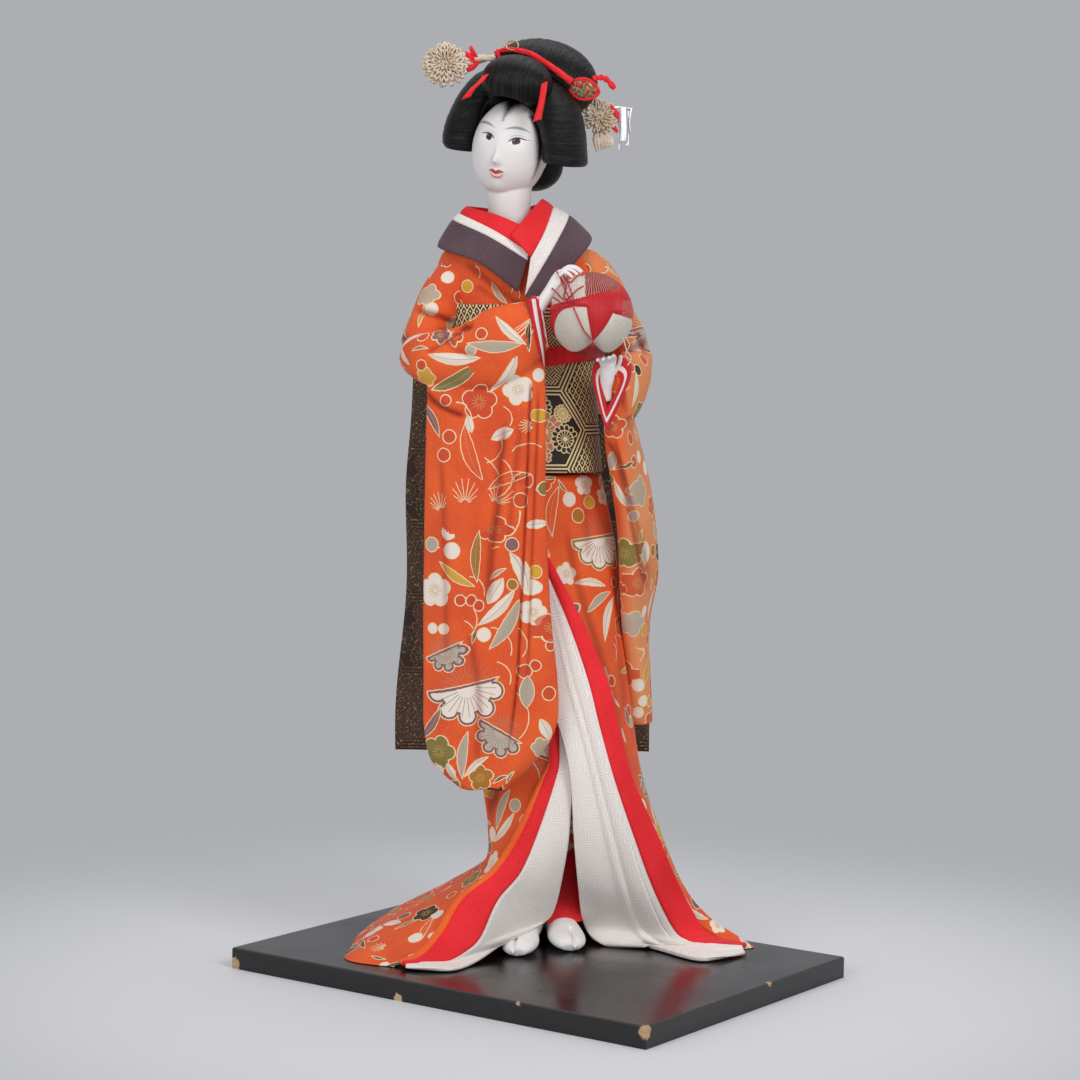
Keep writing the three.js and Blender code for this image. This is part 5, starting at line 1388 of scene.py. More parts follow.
SLEEVE_LEFT = {
    "upper": [[12, 20, 386, 8, 12], [22, 20, 383, 11, 13.5], [32, 19, 371, 11.2, 13],
              [38.5, 17, 357, 10.6, 12.5],
              [46, 14, 343, 10.4, 12], [51, 12, 327, 8, 10]],
    "fore": [[52, 18, 334, 8, 10], [50, 11, 330, 9, 13], [48, 4, 324, 10, 16], [43, -8, 316, 10, 18],
             [37.6, -18.6, 311, 9.3, 18.6]],
}
BAG_LEFT = [
    [46, 2, 322, 7, 16, -14], [41, -2, 305, 6.5, 19, -14], [43, 1, 288, 8, 20, -16],
    [48, 7, 265, 8.5, 20, -20],
    [52, 13, 240, 8.5, 19, -22], [54, 18, 212, 8.5, 19, -22], [53, 26, 186, 7, 19, -14],
    [54, 34, 160, 7.5, 17, -8],
    [56, 37, 126, 8, 15, -4],
]


def sleeve_left():
    p = along(BAG_LEFT, share(80))
    bag = oval(p[:, :3], p[:, 3], p[:, 4], 60, 1.25, np.radians(p[:, 5]))
    upper = closed(limb(SLEEVE_LEFT["upper"], 40, 30, (0, 1, 0)))
    fore = closed(limb(SLEEVE_LEFT["fore"], 48, 30))
    made = grown("sleeve_left", [closed(bag), upper, fore], 1.1, 4)
    for path, depth, width, step in SLEEVE_LEFT_FOLDS:
        crease(made, path, depth, width, step)
    lay_flat(made)

    def faded(p):
        # a paler orange over the sleeve's outer side and its shoulder
        return 0.85 * smooth(p[:, 0], 38, 52) + 0.6 * smooth(p[:, 2], 330, 370)

    print_plants(made, PRINTS["sleeve_left"], 110, 4, faded)
    return dress(made, KIMONO, "orange_crepe", "sleeve_left")


SLEEVE_LEFT_FOLDS = [
    ([[33.3, 289], [40.1, 273.4], [50.1, 238.6], [60.1, 200]], 2.0, 2.4, 0.8),
    ([[36.6, 293], [44.1, 266.3], [53.4, 238.6], [61.1, 208]], 1.4, 1.8, 0),
    ([[41.5, 337], [48.7, 340.4], [57.5, 342.2], [62, 342]], 2.2, 2.4, 1.0),
    ([[44, 369], [49.7, 349.3], [57.7, 333.9]], 1.4, 3.0, 0),
    ([[45, 302], [50.5, 293.9], [59, 288.4]], 1.8, 2.6, 0),
    ([[30, 380], [38, 372], [44, 360]], 1.0, 3.0, 0),
]


COLLAR = {
    "neck": [[-9, -6, 403], [-27, -3, 411], [-44, 12, 416], [-39, 34, 417], [-22, 45, 416], [-7, 38, 419],
             [-4, 18, 421], [-12, -2, 411], [-20, -9.5, 400]],
    "red": [[-10, -9, 391], [-30, -5, 403], [-48, 12, 412], [-42, 37, 412], [-21, 50, 410], [0, 40, 414],
            [2.5, 15, 416], [-2, -3, 402], [-9, -11, 388]],
    "white": [[-11, -10, 386.5], [-32, -6, 399], [-52, 12, 408.5], [-45, 39, 409], [-21, 54, 406],
              [5, 42, 410],
              [11.5, 13, 411.5], [3, -6, 393], [-12, -14, 367]],
    "purple": [[-16, -12, 369], [-38, -9, 385], [-60.5, 12, 393.5], [-52, 42, 399], [-21, 59, 398],
               [14, 45, 402],
               [24.5, 14, 399.5], [14, -8, 384], [-6, -15.5, 364]],
}


def collar(name, upper, lower, thickness, finish_material, slot):
    u, v = field(14, 160)
    a, b = along(COLLAR[upper], v), along(COLLAR[lower], v)
    p = a + (b - a) * u[..., None]
    over = np.where(v > 0.5, 1, -1)
    p[..., 1] -= over * 1.3 * np.abs(2 * v - 1) ** 3
    out = unit((p - [-20, 22, 395]) * [1, 1, 0.4])
    p = p + out * (0.35 * 4 * u * (1 - u))[..., None]
    return dress(shell(name, panel(p, thickness)), finish_material, slot, name)


def collars():
    collar("collar_purple", "white", "purple", 1.5, PLUM, "plum_silk")
    collar("collar_white", "red", "white", 1.6, WHITE, "white_damask")
    collar("collar_red", "neck", "red", 1.5, RED, "red_crepe")


# The hands: a palm and five fingers; the paths end with half widths
RIGHT_HAND = [
    [[-9.5, -33, 349, 4.2, 3.4], [-4.8, -34, 359, 3.7, 3.0], [1.5, -35.5, 369.5, 3.2, 2.5],
     [6, -36.5, 376.5, 3.5, 2.2],
     [8.6, -37, 379.2, 2.8, 1.8]],
    [[7.5, -34, 379.6, 1.4, 1.4], [11.4, -33.5, 382.4, 1.3, 1.3], [15.6, -33, 382.2, 1.1, 1.1],
     [19, -32.5, 379.8, 0.9, 0.9]],
    [[7.5, -36.6, 379.6, 1.4, 1.4], [11.2, -36.6, 382, 1.3, 1.3], [15, -36.6, 381.6, 1.1, 1.1],
     [18.2, -36.6, 379.4, 0.9, 0.9]],
    [[7.2, -39, 379, 1.3, 1.3], [10.4, -39.4, 381, 1.2, 1.2], [13.6, -39.8, 380.2, 1, 1],
     [16.2, -40.2, 378.2, 0.9, 0.9]],
    [[6.4, -40.4, 377.6, 1.2, 1.2], [9, -41.4, 379.4, 1.1, 1.1], [11.6, -42.2, 378.4, 1, 1],
     [13.6, -42.8, 376.6, 0.9, 0.9]],
    [[3, -33, 372, 1.7, 1.7], [5, -30, 374, 1.6, 1.6], [8, -28, 374.4, 1.4, 1.4],
     [10.5, -27, 373.4, 1.1, 1.1]],
]
LEFT_HAND = [
    [[33.5, -19, 311, 3, 2.8], [33, -21.5, 317, 3.2, 2.8], [33.4, -25, 323, 4, 2.8],
     [33.6, -28, 328.4, 4.2, 2.4],
     [33.6, -30, 331, 3.4, 2]],
    [[30.8, -29, 329.6, 1.4, 1.4], [29.6, -32, 332.2, 1.3, 1.3], [28.6, -35.4, 333, 1.2, 1.2],
     [27.6, -39, 332.6, 1, 1]],
    [[32.6, -30, 330, 1.4, 1.4], [32.2, -33, 332.6, 1.3, 1.3], [31.4, -36.6, 333.4, 1.2, 1.2],
     [30.4, -40.4, 333, 1, 1]],
    [[34.6, -30, 330, 1.4, 1.4], [34.8, -33, 332.8, 1.3, 1.3], [34.4, -36.6, 333.8, 1.2, 1.2],
     [33.6, -40, 334, 1, 1]],
    [[36.4, -29, 329.4, 1.3, 1.3], [37, -32, 332.8, 1.2, 1.2], [36.8, -35.4, 334.4, 1.1, 1.1],
     [36.2, -38.4, 335.2, 1, 1]],
    [[36, -25, 324.6, 1.6, 1.6], [38.6, -25.6, 328.6, 1.4, 1.4], [40, -27.6, 332, 1.3, 1.3],
     [40.4, -30, 335, 1, 1]],
]


def hand(name, paths):
    bodies = [closed(limb(path, 20, 16, (0.3, 1, 0.1))) for path in paths]
    return dress(grown(name, bodies, 0.35, 5), SHELL, "shell_white", name)


def cuff(name, at, deep, tall, lean, slant, profile, edge):
    """The lining round a sleeve's mouth: rolls of red, white and red cloth, and a hollow behind them.

    edge gives the mouth's outline. Each step of the profile is a distance ahead, a share of the mouth's
    size and the layer of cloth it lies in."""
    s = share(96) * 2 * math.pi
    across, high = edge(s)

    def ring(shift, scale):
        wide = across * deep * scale
        x = at[0] + shift * math.cos(lean) - wide * math.sin(lean) + slant * high * tall
        y = at[1] + shift * math.sin(lean) + wide * math.cos(lean)
        return np.stack([x, y, at[2] + high * tall * scale], -1)

    # layer 8 is the hollow behind the rolls, which the cloth's material darkens as painted shade
    steps = [*profile, (-1.5, profile[-1][1], 8), (-1.5, 0.96, 8), (*profile[0][:2], 8)]
    rings = np.stack([ring(*k[:2]) for k in steps])
    layers = np.array([k[2] for k in steps])[:, None]
    chart = np.stack([np.broadcast_to(k, rings.shape[:2]) for k in (s * deep, layers)], -1)
    return shell(name, [(rings, chart)])


def mouth_edge(made, name):
    """The folded lining that shows down a sleeve's front below its mouth, red, white and red."""
    look = seen_on(made)
    v = share(90)
    left, right = along(SLEEVE_LIP["left"], v), along(SLEEVE_LIP["right"], v)
    first = np.array([look([x, -44, z]) for x, z in left])
    depth = np.convolve(np.pad(first[:, 1], 6, "edge"), np.full(13, 1 / 13), "valid")
    u = share(30)[:, None]
    roll = 0.8 + 0.9 * np.sin(math.pi * u) + 0.5 * np.abs(np.sin(3 * math.pi * u))
    near = (to_figure(CAMERA["at"])[1] - depth) / (to_figure(CAMERA["at"])[1] + 44)
    p = np.stack([(left[:, 0] + (right - left)[:, 0] * u) * near, depth - roll * (1 - 0.5 * v) + 2.4 * u**2,
                  left[:, 1] + 0 * u], -1)
    # the strip's inner side reaches layer 8, which the cloth's material darkens as painted shade
    chart = np.stack([0 * u + v * 70, 2 + 6 * u + 0 * v], -1)
    return shell(name, panel(p, 1.0, chart))


# The lining's two outlines below the right sleeve's mouth, as x and z seen from the front
SLEEVE_LIP = {
    "left": [[-10.4, 365], [-8.4, 354], [-5.4, 343.5], [-3, 335], [-1.6, 328.5]],
    "right": [[-4.2, 366.5], [-2.4, 354.8], [-1.2, 343.5], [-0.8, 335], [-1, 328.5]],
}


def round_mouth(s):
    return np.cos(s), np.sin(s)


def pointed_mouth(s):
    """An oval drawn out to a point at its foot."""
    h = (1 + np.sin(s)) / 2
    return np.sign(np.cos(s)) * h**0.85 * np.sqrt(1 - h**8) * 1.2, np.sin(s)


def hands(right_sleeve):
    hand("hand_right", RIGHT_HAND)
    hand("hand_left", LEFT_HAND)
    profile = [(0, 0.98, 1), (0.8, 1.03, 1.6), (1.7, 1.0, 2.4), (2.4, 1.03, 3.6), (3.3, 1.0, 5),
               (4.1, 1.02, 5.8), (4.8, 0.94, 6.2), (4.4, 0.84, 6.6), (1.0, 0.76, 8)]
    ring = cuff("cuff_right", (-6, -31, 353), 6.8, 13.5, 0.1, -0.2, profile, round_mouth)
    dress(joined("cuff_right", [ring, mouth_edge(right_sleeve, "mouth_edge")]), LIPPED, "red_crepe",
          "cuff_right")
    profile = [(0, 0.97, 1), (2.6, 1.0, 1.6), (3.8, 0.93, 2.4), (4.2, 0.85, 3.4), (3.6, 0.77, 4.4),
               (4.0, 0.73, 5), (3.6, 0.68, 5.6), (4.2, 0.6, 6), (3.8, 0.48, 6.4), (1.5, 0.36, 7.4),
               (-1, 0.3, 8)]
    ring = cuff("cuff_left", (35.4, -21, 314.4), 12, 20.4, math.radians(-100), 0.07, profile, pointed_mouth)
    dress(ring, LIPPED, "red_crepe", "cuff_left")


# The wound ball, in shares of its radius as seen from the front: the slope and the height of the red
# band's upper edge, and the x where the lobes above it change
BAND_TOP = (0.25, 0.47)
LOBE_EDGES = (-0.17, 0.64)
# From and to which angle round its lower pole each white petal lies; the pole, and two directions across it
PETALS = ((-147, -13), (38, 148))
POLE = unit(np.array([0.03, -0.755, -0.655]))
POLE_UP = unit(np.array([0, 0, 1]) - POLE * POLE[2])
POLE_SIDE = np.cross(POLE_UP, POLE)


def thread_ball():
    d = ball((0, 0, 0), (1, 1, 1), 200, 140)
    from_pole = np.arccos(np.clip(d @ POLE, -1, 1))
    turn = np.degrees(np.arctan2(d @ POLE_SIDE, d @ POLE_UP))
    x, y, z = np.moveaxis(d, -1, 0)
    petal_top = 0.17 - 0.27 * np.maximum(x, 0) - 0.35 * np.maximum(-x - 0.5, 0)
    seams = np.min([np.abs(turn - k) for pair in PETALS for k in pair], 0) * np.radians(1) * np.sin(from_pole)
    in_petal = sum((turn > first) & (turn < last) for first, last in PETALS)
    groove = np.exp(-((seams / 0.05) ** 2)) * (z < petal_top)
    groove = groove + np.exp(-(((z - petal_top) / 0.05) ** 2)) * in_petal
    over = z - BAND_TOP[0] * x - BAND_TOP[1]
    groove = groove + np.exp(-((over / 0.05) ** 2)) * (x < LOBE_EDGES[1]) * (y < 0.1)
    for edge in LOBE_EDGES:
        groove = groove + np.exp(-(((x - edge) / 0.05) ** 2)) * (over > 0) * (y < 0.1)
    reach = BALL["radius"] * (1.012 - 0.035 * np.minimum(groove, 1))
    made = shell("thread_ball", plain(np.asarray(BALL["at"]) + d * reach[..., None]))
    dress(made, THREAD, "ball_thread", "thread_ball")

    def on_ball(x, z, out):
        x, z = np.asarray(x, float) - BALL["at"][0], np.asarray(z, float) - BALL["at"][2]
        deep = np.sqrt(np.maximum((BALL["radius"] + out) ** 2 - x**2 - z**2, 4))
        return np.stack([BALL["at"][0] + x, BALL["at"][1] - deep, BALL["at"][2] + z], -1)

    loose, pale = [], []
    for number, path in enumerate(RED_THREADS):
        line = along(path, share(24))
        stations = np.concatenate([on_ball(line[:, 0], line[:, 1], 0.8), np.full((25, 2), 0.36)], 1)
        thread = closed(limb(stations, 6, 40, (0.1, 0.2, 1)))
        route = to_row(stations[:, :3])
        long = np.linalg.norm(np.diff(route, axis=0), axis=1).sum()
        if long < 0.03:
            loose += thread
            continue
        strand = dress(shell(f"long_thread_{number}", thread), THREAD_RED, "ball_thread")
    for path in PALE_THREADS:
        stations = np.concatenate([along(path, share(24)), np.full((25, 2), 0.32)], 1)
        pale += closed(limb(stations, 6, 40, (0.1, 0.9, 0.3)))
    dress(shell("loose_threads", loose), THREAD_RED, "ball_thread")
    dress(shell("pale_threads", pale), THREAD_PALE, "ball_thread")


# Loose threads that lie on the ball, as x and z, and pale ends that hang free
RED_THREADS = [
    [[4, 381], [7, 376.5], [9, 371], [12, 365], [16, 356], [20, 348], [24.5, 343]],
    [[6, 378], [10, 372], [9, 366], [14, 363], [12, 371], [9.5, 376]],
    [[2.5, 371], [5, 368.5], [9, 364.5], [12.5, 366.5], [16, 370], [19.5, 372]],
    [[8, 379], [12, 374], [16, 377.5], [20, 378.5]],
    [[3, 366], [7, 363], [9, 359.5]],
]
PALE_THREADS = [
    [[42, -46, 346], [44.5, -48, 341], [42.5, -48, 336.5], [44, -47, 332.5]],
    [[41, -48, 345], [43, -50, 338], [45.5, -50, 334], [43.5, -50, 330]],
]


# The head
# The face's low mounds and hollows, in shares of the head's half sizes: x, z, half width, half height, lift
FACE = [
    (0.1, -0.02, 0.09, 0.2, 0.06), (0.1, -0.18, 0.1, 0.1, 0.155), (0.01, -0.21, 0.05, 0.05, 0.025),
    (0.19, -0.21, 0.05, 0.05, 0.025), (-0.27, 0.25, 0.22, 0.12, -0.05), (0.47, 0.25, 0.22, 0.12, -0.05),
    (0.1, -0.4, 0.2, 0.05, 0.045), (0.1, -0.51, 0.15, 0.05, 0.045), (0.1, -0.56, 0.12, 0.03, -0.02),
    (0.08, -0.8, 0.3, 0.16, 0.07),
]


def face_shape(d):
    x, y, z = np.moveaxis(d, -1, 0)
    jaw = np.where(z < 0, 1 + 0.05 * z * z, 1 - 0.05 * z * z)
    front = smooth(-y, 0, 0.25)
    lift = sum(h * np.exp(-(((x - cx) / wx) ** 2) - ((z - cz) / wz) ** 2) for cx, cz, wx, wz, h in FACE)
    return np.stack([x * jaw, y * (1 - 0.1 * z * front) - lift * front, z], -1)


# What is painted on the head, in mm on its own x and z: each eye's middle and side, and each brow's
EYES = [(-5.3, 6.7, -1), (10.2, 6.4, 1)]
BROWS = [(-9.9, 13.7, 7.8, 0.03), (9.1, 13.7, 6.8, 0.045)]
MOUTH = {"x": 2.3, "half": 5.0, "top": -9.6, "middle": -12.2, "bottom": -14.3}
FOREHEAD = [(-8.0, 4.0, 12.6, 22.6), (9.4, 3.0, 12.4, 24.2)]


def measure(made, name, values):
    """Keeps a number for every vertex, which the material reads by name."""
    layer = made.data.attributes.new(name, "FLOAT", "POINT")
    layer.data.foreach_set("value", np.asarray(values, np.float32))


def paint_head(made):
    """Measures how far every point is outside each painted feature, in mm; less than 0 is inside."""
    x, y, z = off_head(places(made)).T
    behind = np.where(y > -2, 50, 0)
    opening, iris, lid, fold, low, glint = ([] for _ in range(6))
    for cx, cz, side in EYES:
        across, high = side * (x - cx), z - cz
        u, w = across * 0.955 + high * 0.296, high * 0.955 - across * 0.296
        arch = 1 - np.minimum(np.abs(u) / 4.3, 1.3) ** 2
        upper = np.where(u < 3.5, 1.9 * arch, 0.64 - 0.45 * (u - 3.5))
        opening.append(np.maximum(w - 1.9 * arch, -1.55 * arch - w))
        iris.append(np.hypot(u - 0.1, w - 0.1) - 2.05)
        lid.append(np.maximum(np.abs(w - upper) - 0.34 * smooth(7 - u, 0, 4) * smooth(u + 4.2, 0, 1.5) - 0.06,
                              np.abs(u - 1.2) - 5.2))
        fold.append(np.maximum(np.abs(w - upper - 1.5) - 0.1, np.abs(u - 0.8) - 4.2))
        low.append(np.maximum(np.abs(w + 1.55 * arch) - 0.08, np.abs(u - 0.6) - 3.6))
        glint.append(np.hypot(x - cx + 0.9, z - cz - 0.7) - 0.4)
    for name, parts in (("eye", opening), ("iris", iris), ("lid", lid), ("fold", fold), ("low_lid", low),
                        ("glint", glint)):
        measure(made, name, np.min(parts, 0) + behind)
    brows = [np.abs(z - cz + bend * (x - cx) ** 2) - 0.75 * (1 - ((x - cx) / half) ** 2)
             for cx, cz, half, bend in BROWS]
    measure(made, "brow", np.min(brows, 0) + behind)

    u = (x - MOUTH["x"]) / MOUTH["half"]
    top = MOUTH["top"] - 1.5 * u * u - 1.0 * bump(u, 0, 0.2)
    middle = MOUTH["middle"] + 1.5 * np.abs(u) ** 1.3 - 0.5 * bump(u, 0, 0.25)
    bottom = MOUTH["bottom"] + 2.6 * u * u
    side = (np.abs(u) - 1) * MOUTH["half"]
    measure(made, "upper_lip", np.maximum.reduce([z - top, middle - z, side]) + behind)
    measure(made, "lower_lip", np.maximum.reduce([z - middle, bottom - z, side + 0.9]) + behind)
    measure(made, "lip_line", np.maximum(np.abs(z - bottom) - 0.3, side + 1.3) + behind)

    skin = np.min([(np.hypot((x - cx) / a, (z - cz) / b) - 1) * a for cx, cz, a, b in FOREHEAD], 0)
    hair = np.minimum(skin, z - 1)
    tip = 0.7 - np.abs(x - 0.5) - 0.18 * np.maximum(23 - z, 0)
    burn = np.minimum.reduce([1.9 * smooth(z, -15, 3) - np.abs(y + 5.2), np.abs(x) - 12, 0.5 * (z + 13)])
    hair = np.maximum.reduce([hair, np.where(z > 16, tip, -9), burn - 0.4, np.minimum(y + 1, z - 2)])
    measure(made, "hair", hair)


NECK = [[-20, 22, 398, 17, 12], [-20, 22, 405, 13.4, 11.6], [-21.5, 21, 414, 12, 11.6],
        [-21.5, 20, 424, 12, 12],
        [-20, 19, 436, 12, 12]]


def head():
    w, d, h = HEAD["size"]
    skull = on_head(ball((0, 0, 0), (w / 2, d / 2, h / 2), 160, 120, face_shape))
    p = along(NECK, share(40))
    neck = oval(p, p[:, 3], p[:, 4], 64)
    ears = [on_head(ball((side * 19.4, 3, -3), (1.8, 4, 6), 32, 24)) for side in (-1, 1)]
    made = grown("head", [closed(neck)] + [plain(body) for body in (skull, *ears)], 0.5, 2)
    paint_head(made)
    return dress(made, FACE_PAINT, "shell_white", "head")


# The wig: a rolled front, two fanned side wings, a nape roll and a big topknot over a fitted cap.
# A lobe is its middle, its radii, and how many rows run across and round it.
WIG = {
    "cap": ((0, 7, 14), (22, 24, 28), 40, 60),
    "front": ((2.5, -8, 37.4), (20.3, 17, 15), 90, 90),
    "nape": ((4, 24, -9), (18.5, 13, 15.5), 70, 60),
    "topknot": ((3, 26, 38), (32.5, 23, 22.6), 110, 100),
}
# A wing's level sections, from its top beside the front roll to its flat foot: centre and half sizes
WINGS = (
    [[-12, 7, 42, 8, 8], [-17, 6, 38, 11, 12], [-23, 4, 27, 12, 15], [-27.4, 3, 14, 12, 17],
     [-29.6, 3, 4, 11.4, 17], [-29, 3, -2, 11.6, 17], [-28, 3, -4.6, 10.6, 16]],
    [[10, 7, 42, 7, 8], [14, 6, 38, 10, 12], [23, 4, 27, 12, 15], [28.6, 3, 14, 12, 17],
     [31.6, 3, 4, 11.4, 17], [32.4, 3, -1, 11.8, 17], [32.4, 3, -3.2, 11.2, 16]],
)
OPENING = ((1.5, -17, -2.5), (20.2, 24, 33))


def strands(across, seed, lean=0.0):
    """The grooves a comb leaves, from -1 to 1, for a distance across the strands in mm."""
    rng = np.random.default_rng(seed)
    total = 0
    for period in (1.5, 2.1, 3.2, 5.0):
        turn = 2 * math.pi * across / period * rng.uniform(0.9, 1.1)
        total = total + np.sin(turn + rng.uniform(0, 6) + lean)
    return total / 4


def combed(at, radii, across, around, seed):
    """A lobe of hair combed from front to back, in rings about the head's x axis."""
    b, a = field(across, around)
    b, a = (b - 0.5) * math.pi, a * 2 * math.pi
    groove = 1 + 0.014 * strands(b * radii[0], seed, 0.5 * np.sin(a * 2 + b))
    d = np.stack([np.sin(b), np.cos(b) * np.cos(a) * groove, np.cos(b) * np.sin(a) * groove], -1)
    chart = np.stack([a * radii[2], b * radii[0]], -1)
    return [(on_head(np.asarray(at) + d * radii), chart)]


def wing(sections, seed):
    """A side wing combed round from the face to the back, in level rings."""
    p = along(sections, share(84))
    rings = oval(p, p[:, 3], p[:, 4], 110)
    around = np.linspace(0, 2 * math.pi, 111)[None, :]
    down = lengths(p[:, None, :3], 0)
    rings[..., 2] += 1.6 * np.cos(around - 1.2) * smooth(p[:, None, 2], -4, 20)
    groove = 1 + 0.016 * strands(down, seed, 0.6 * np.sin(around * 2))
    centre = p[:, None, :3]
    rings[..., :2] = centre[..., :2] + (rings[..., :2] - centre[..., :2]) * groove[..., None]
    return closed(on_head(rings))


def wig():
    parts = [combed(*lobe, seed) for seed, lobe in enumerate(WIG.values())]
    parts += [wing(sections, seed + 20) for seed, sections in enumerate(WINGS)]
    at, radii = OPENING
    opening = shell("opening", plain(on_head(ball(at, radii, 96, 64, squared))))
    lobes = []
    for number, part in enumerate(parts):
        lobe = shell("lobe_%d" % number, part)
        cut = lobe.modifiers.new("face", "BOOLEAN")
        cut.operation, cut.object, cut.solver = "DIFFERENCE", opening, "EXACT"
        lobes.append(applied(lobe))
    bpy.data.objects.remove(opening)
    return dress(joined("wig", lobes), HAIR, "black_hair", "wig")


def squared(d):
    k = np.sum(np.abs(d) ** 2.6, -1, keepdims=True) ** (-1 / 2.6)
    return d * k


# Hair ornaments
TOPKNOT_BAND = [[-32.4, 500.7], [-24.5, 503.5], [-16.4, 502.9], [-9.8, 501], [-0.4, 495.2], [6.3, 490.7],
                [12, 486.5]]
BOW = {"at": (18, 22, 483), "half": (8.6, 5.6), "turn": -12}
TWIST = [[23.8, 487.6], [27.5, 488.6], [31.5, 487.6], [36.2, 482.5]]
TEMPLE = {
    "right": [[-35, -6, 487], [-38, -9, 483], [-42, -11, 479], [-45.5, -11, 474]],
    "left": [[-3, -9, 483], [-3.6, -13, 477], [-5, -15, 469], [-6.6, -15, 462]],
}


def petal(length, width, height, thickness):
    """One straw loop, lying out along x from its tied end: a thin upright band bent into a narrow ring."""
    a = share(14) * 2 * math.pi
    middle = np.stack([length / 2 * (1 - np.cos(a)), width / 2 * np.sin(a) * (1 - 0.35 * np.cos(a))], -1)
    ahead = unit(np.roll(middle[:-1], -1, 0) - np.roll(middle[:-1], 1, 0))
    out = np.stack([ahead[:, 1], -ahead[:, 0]], -1)
    out = np.concatenate([out, out[:1]]) * thickness / 2
    rings = []
    for side, level in ((1, -1), (1, 1), (-1, 1), (-1, -1), (1, -1)):
        rings.append(np.concatenate([middle + out * side, np.full((15, 1), level * height / 2)], 1))
    return plain(np.stack(rings))


def flower(name, at, facing, tiers, seed):
    """A flower of looped straws: Geometry Nodes set tiers of one petal round the middle, a little unevenly.

    Each tier is its number of petals, its radius, how far the petals tip up and their size."""
    made = shell(name, petal(9.6, 1.9, 2.2, 0.85), place=lambda p: p * MM)
    tree = bpy.data.node_groups.new(name + "_tiers", "GeometryNodeTree")
    tree.interface.new_socket("Petal", in_out="INPUT", socket_type="NodeSocketGeometry")
    wanted = tree.interface.new_socket("Unevenness", in_out="INPUT", socket_type="NodeSocketFloat")
    tree.interface.new_socket("Flower", in_out="OUTPUT", socket_type="NodeSocketGeometry")
    put = adder(tree, "")
    given = put("NodeGroupInput").node.outputs
    rings = []
    for count, radius, tip, size in tiers:
        points = put("GeometryNodeMeshCircle", count, radius * MM)
        low = put("ShaderNodeMath MULTIPLY", given["Unevenness"], -1.0)
        jitter = put("FunctionNodeRandomValue", low, given["Unevenness"], None, seed)
        turn = put("ShaderNodeMath MULTIPLY_ADD", put("GeometryNodeInputIndex"), 2 * math.pi / count, jitter)
        tipped = put("ShaderNodeMath ADD", jitter, -tip)
        rotation = put("ShaderNodeCombineXYZ", 0.0, tipped, turn)
        rings.append(put("GeometryNodeInstanceOnPoints", points, None, given["Petal"], None, None, rotation,
                         [size] * 3))
        seed += 1
    whole = put("GeometryNodeJoinGeometry")
    for ring in rings:
        tree.links.new(ring, whole.node.inputs[0])
    plain_mesh = put("GeometryNodeRealizeInstances", whole)
    put("NodeGroupOutput", put("GeometryNodeSetMaterial", plain_mesh, None, STRAW))
    loops = made.modifiers.new("petals", "NODES")
    loops.node_group = tree
    loops[wanted.identifier] = 0.12
    applied(made)
    coil = share(60)
    turns = 2.4 * 2 * math.pi * coil
    spiral = np.stack([(0.5 + 2.3 * coil) * np.cos(turns), (0.5 + 2.3 * coil) * np.sin(turns),
                       2.2 - 0.8 * coil, np.full(61, 0.45), np.full(61, 0.8)], -1)
    button = shell(name + "_button", closed(limb(spiral, 8, 90)), place=lambda p: p * MM)
    whole = joined(name, [made, button])
    tip, swing = (math.radians(k) for k in facing)
    turned_by = np.array(Matrix.Rotation(swing, 3, "Y") @ Matrix.Rotation(tip, 3, "X"))
    local = np.empty(len(whole.data.vertices) * 3)
    whole.data.vertices.foreach_get("co", local)
    move(whole, local.reshape(-1, 3) / MM @ turned_by.T + at)
    return whole


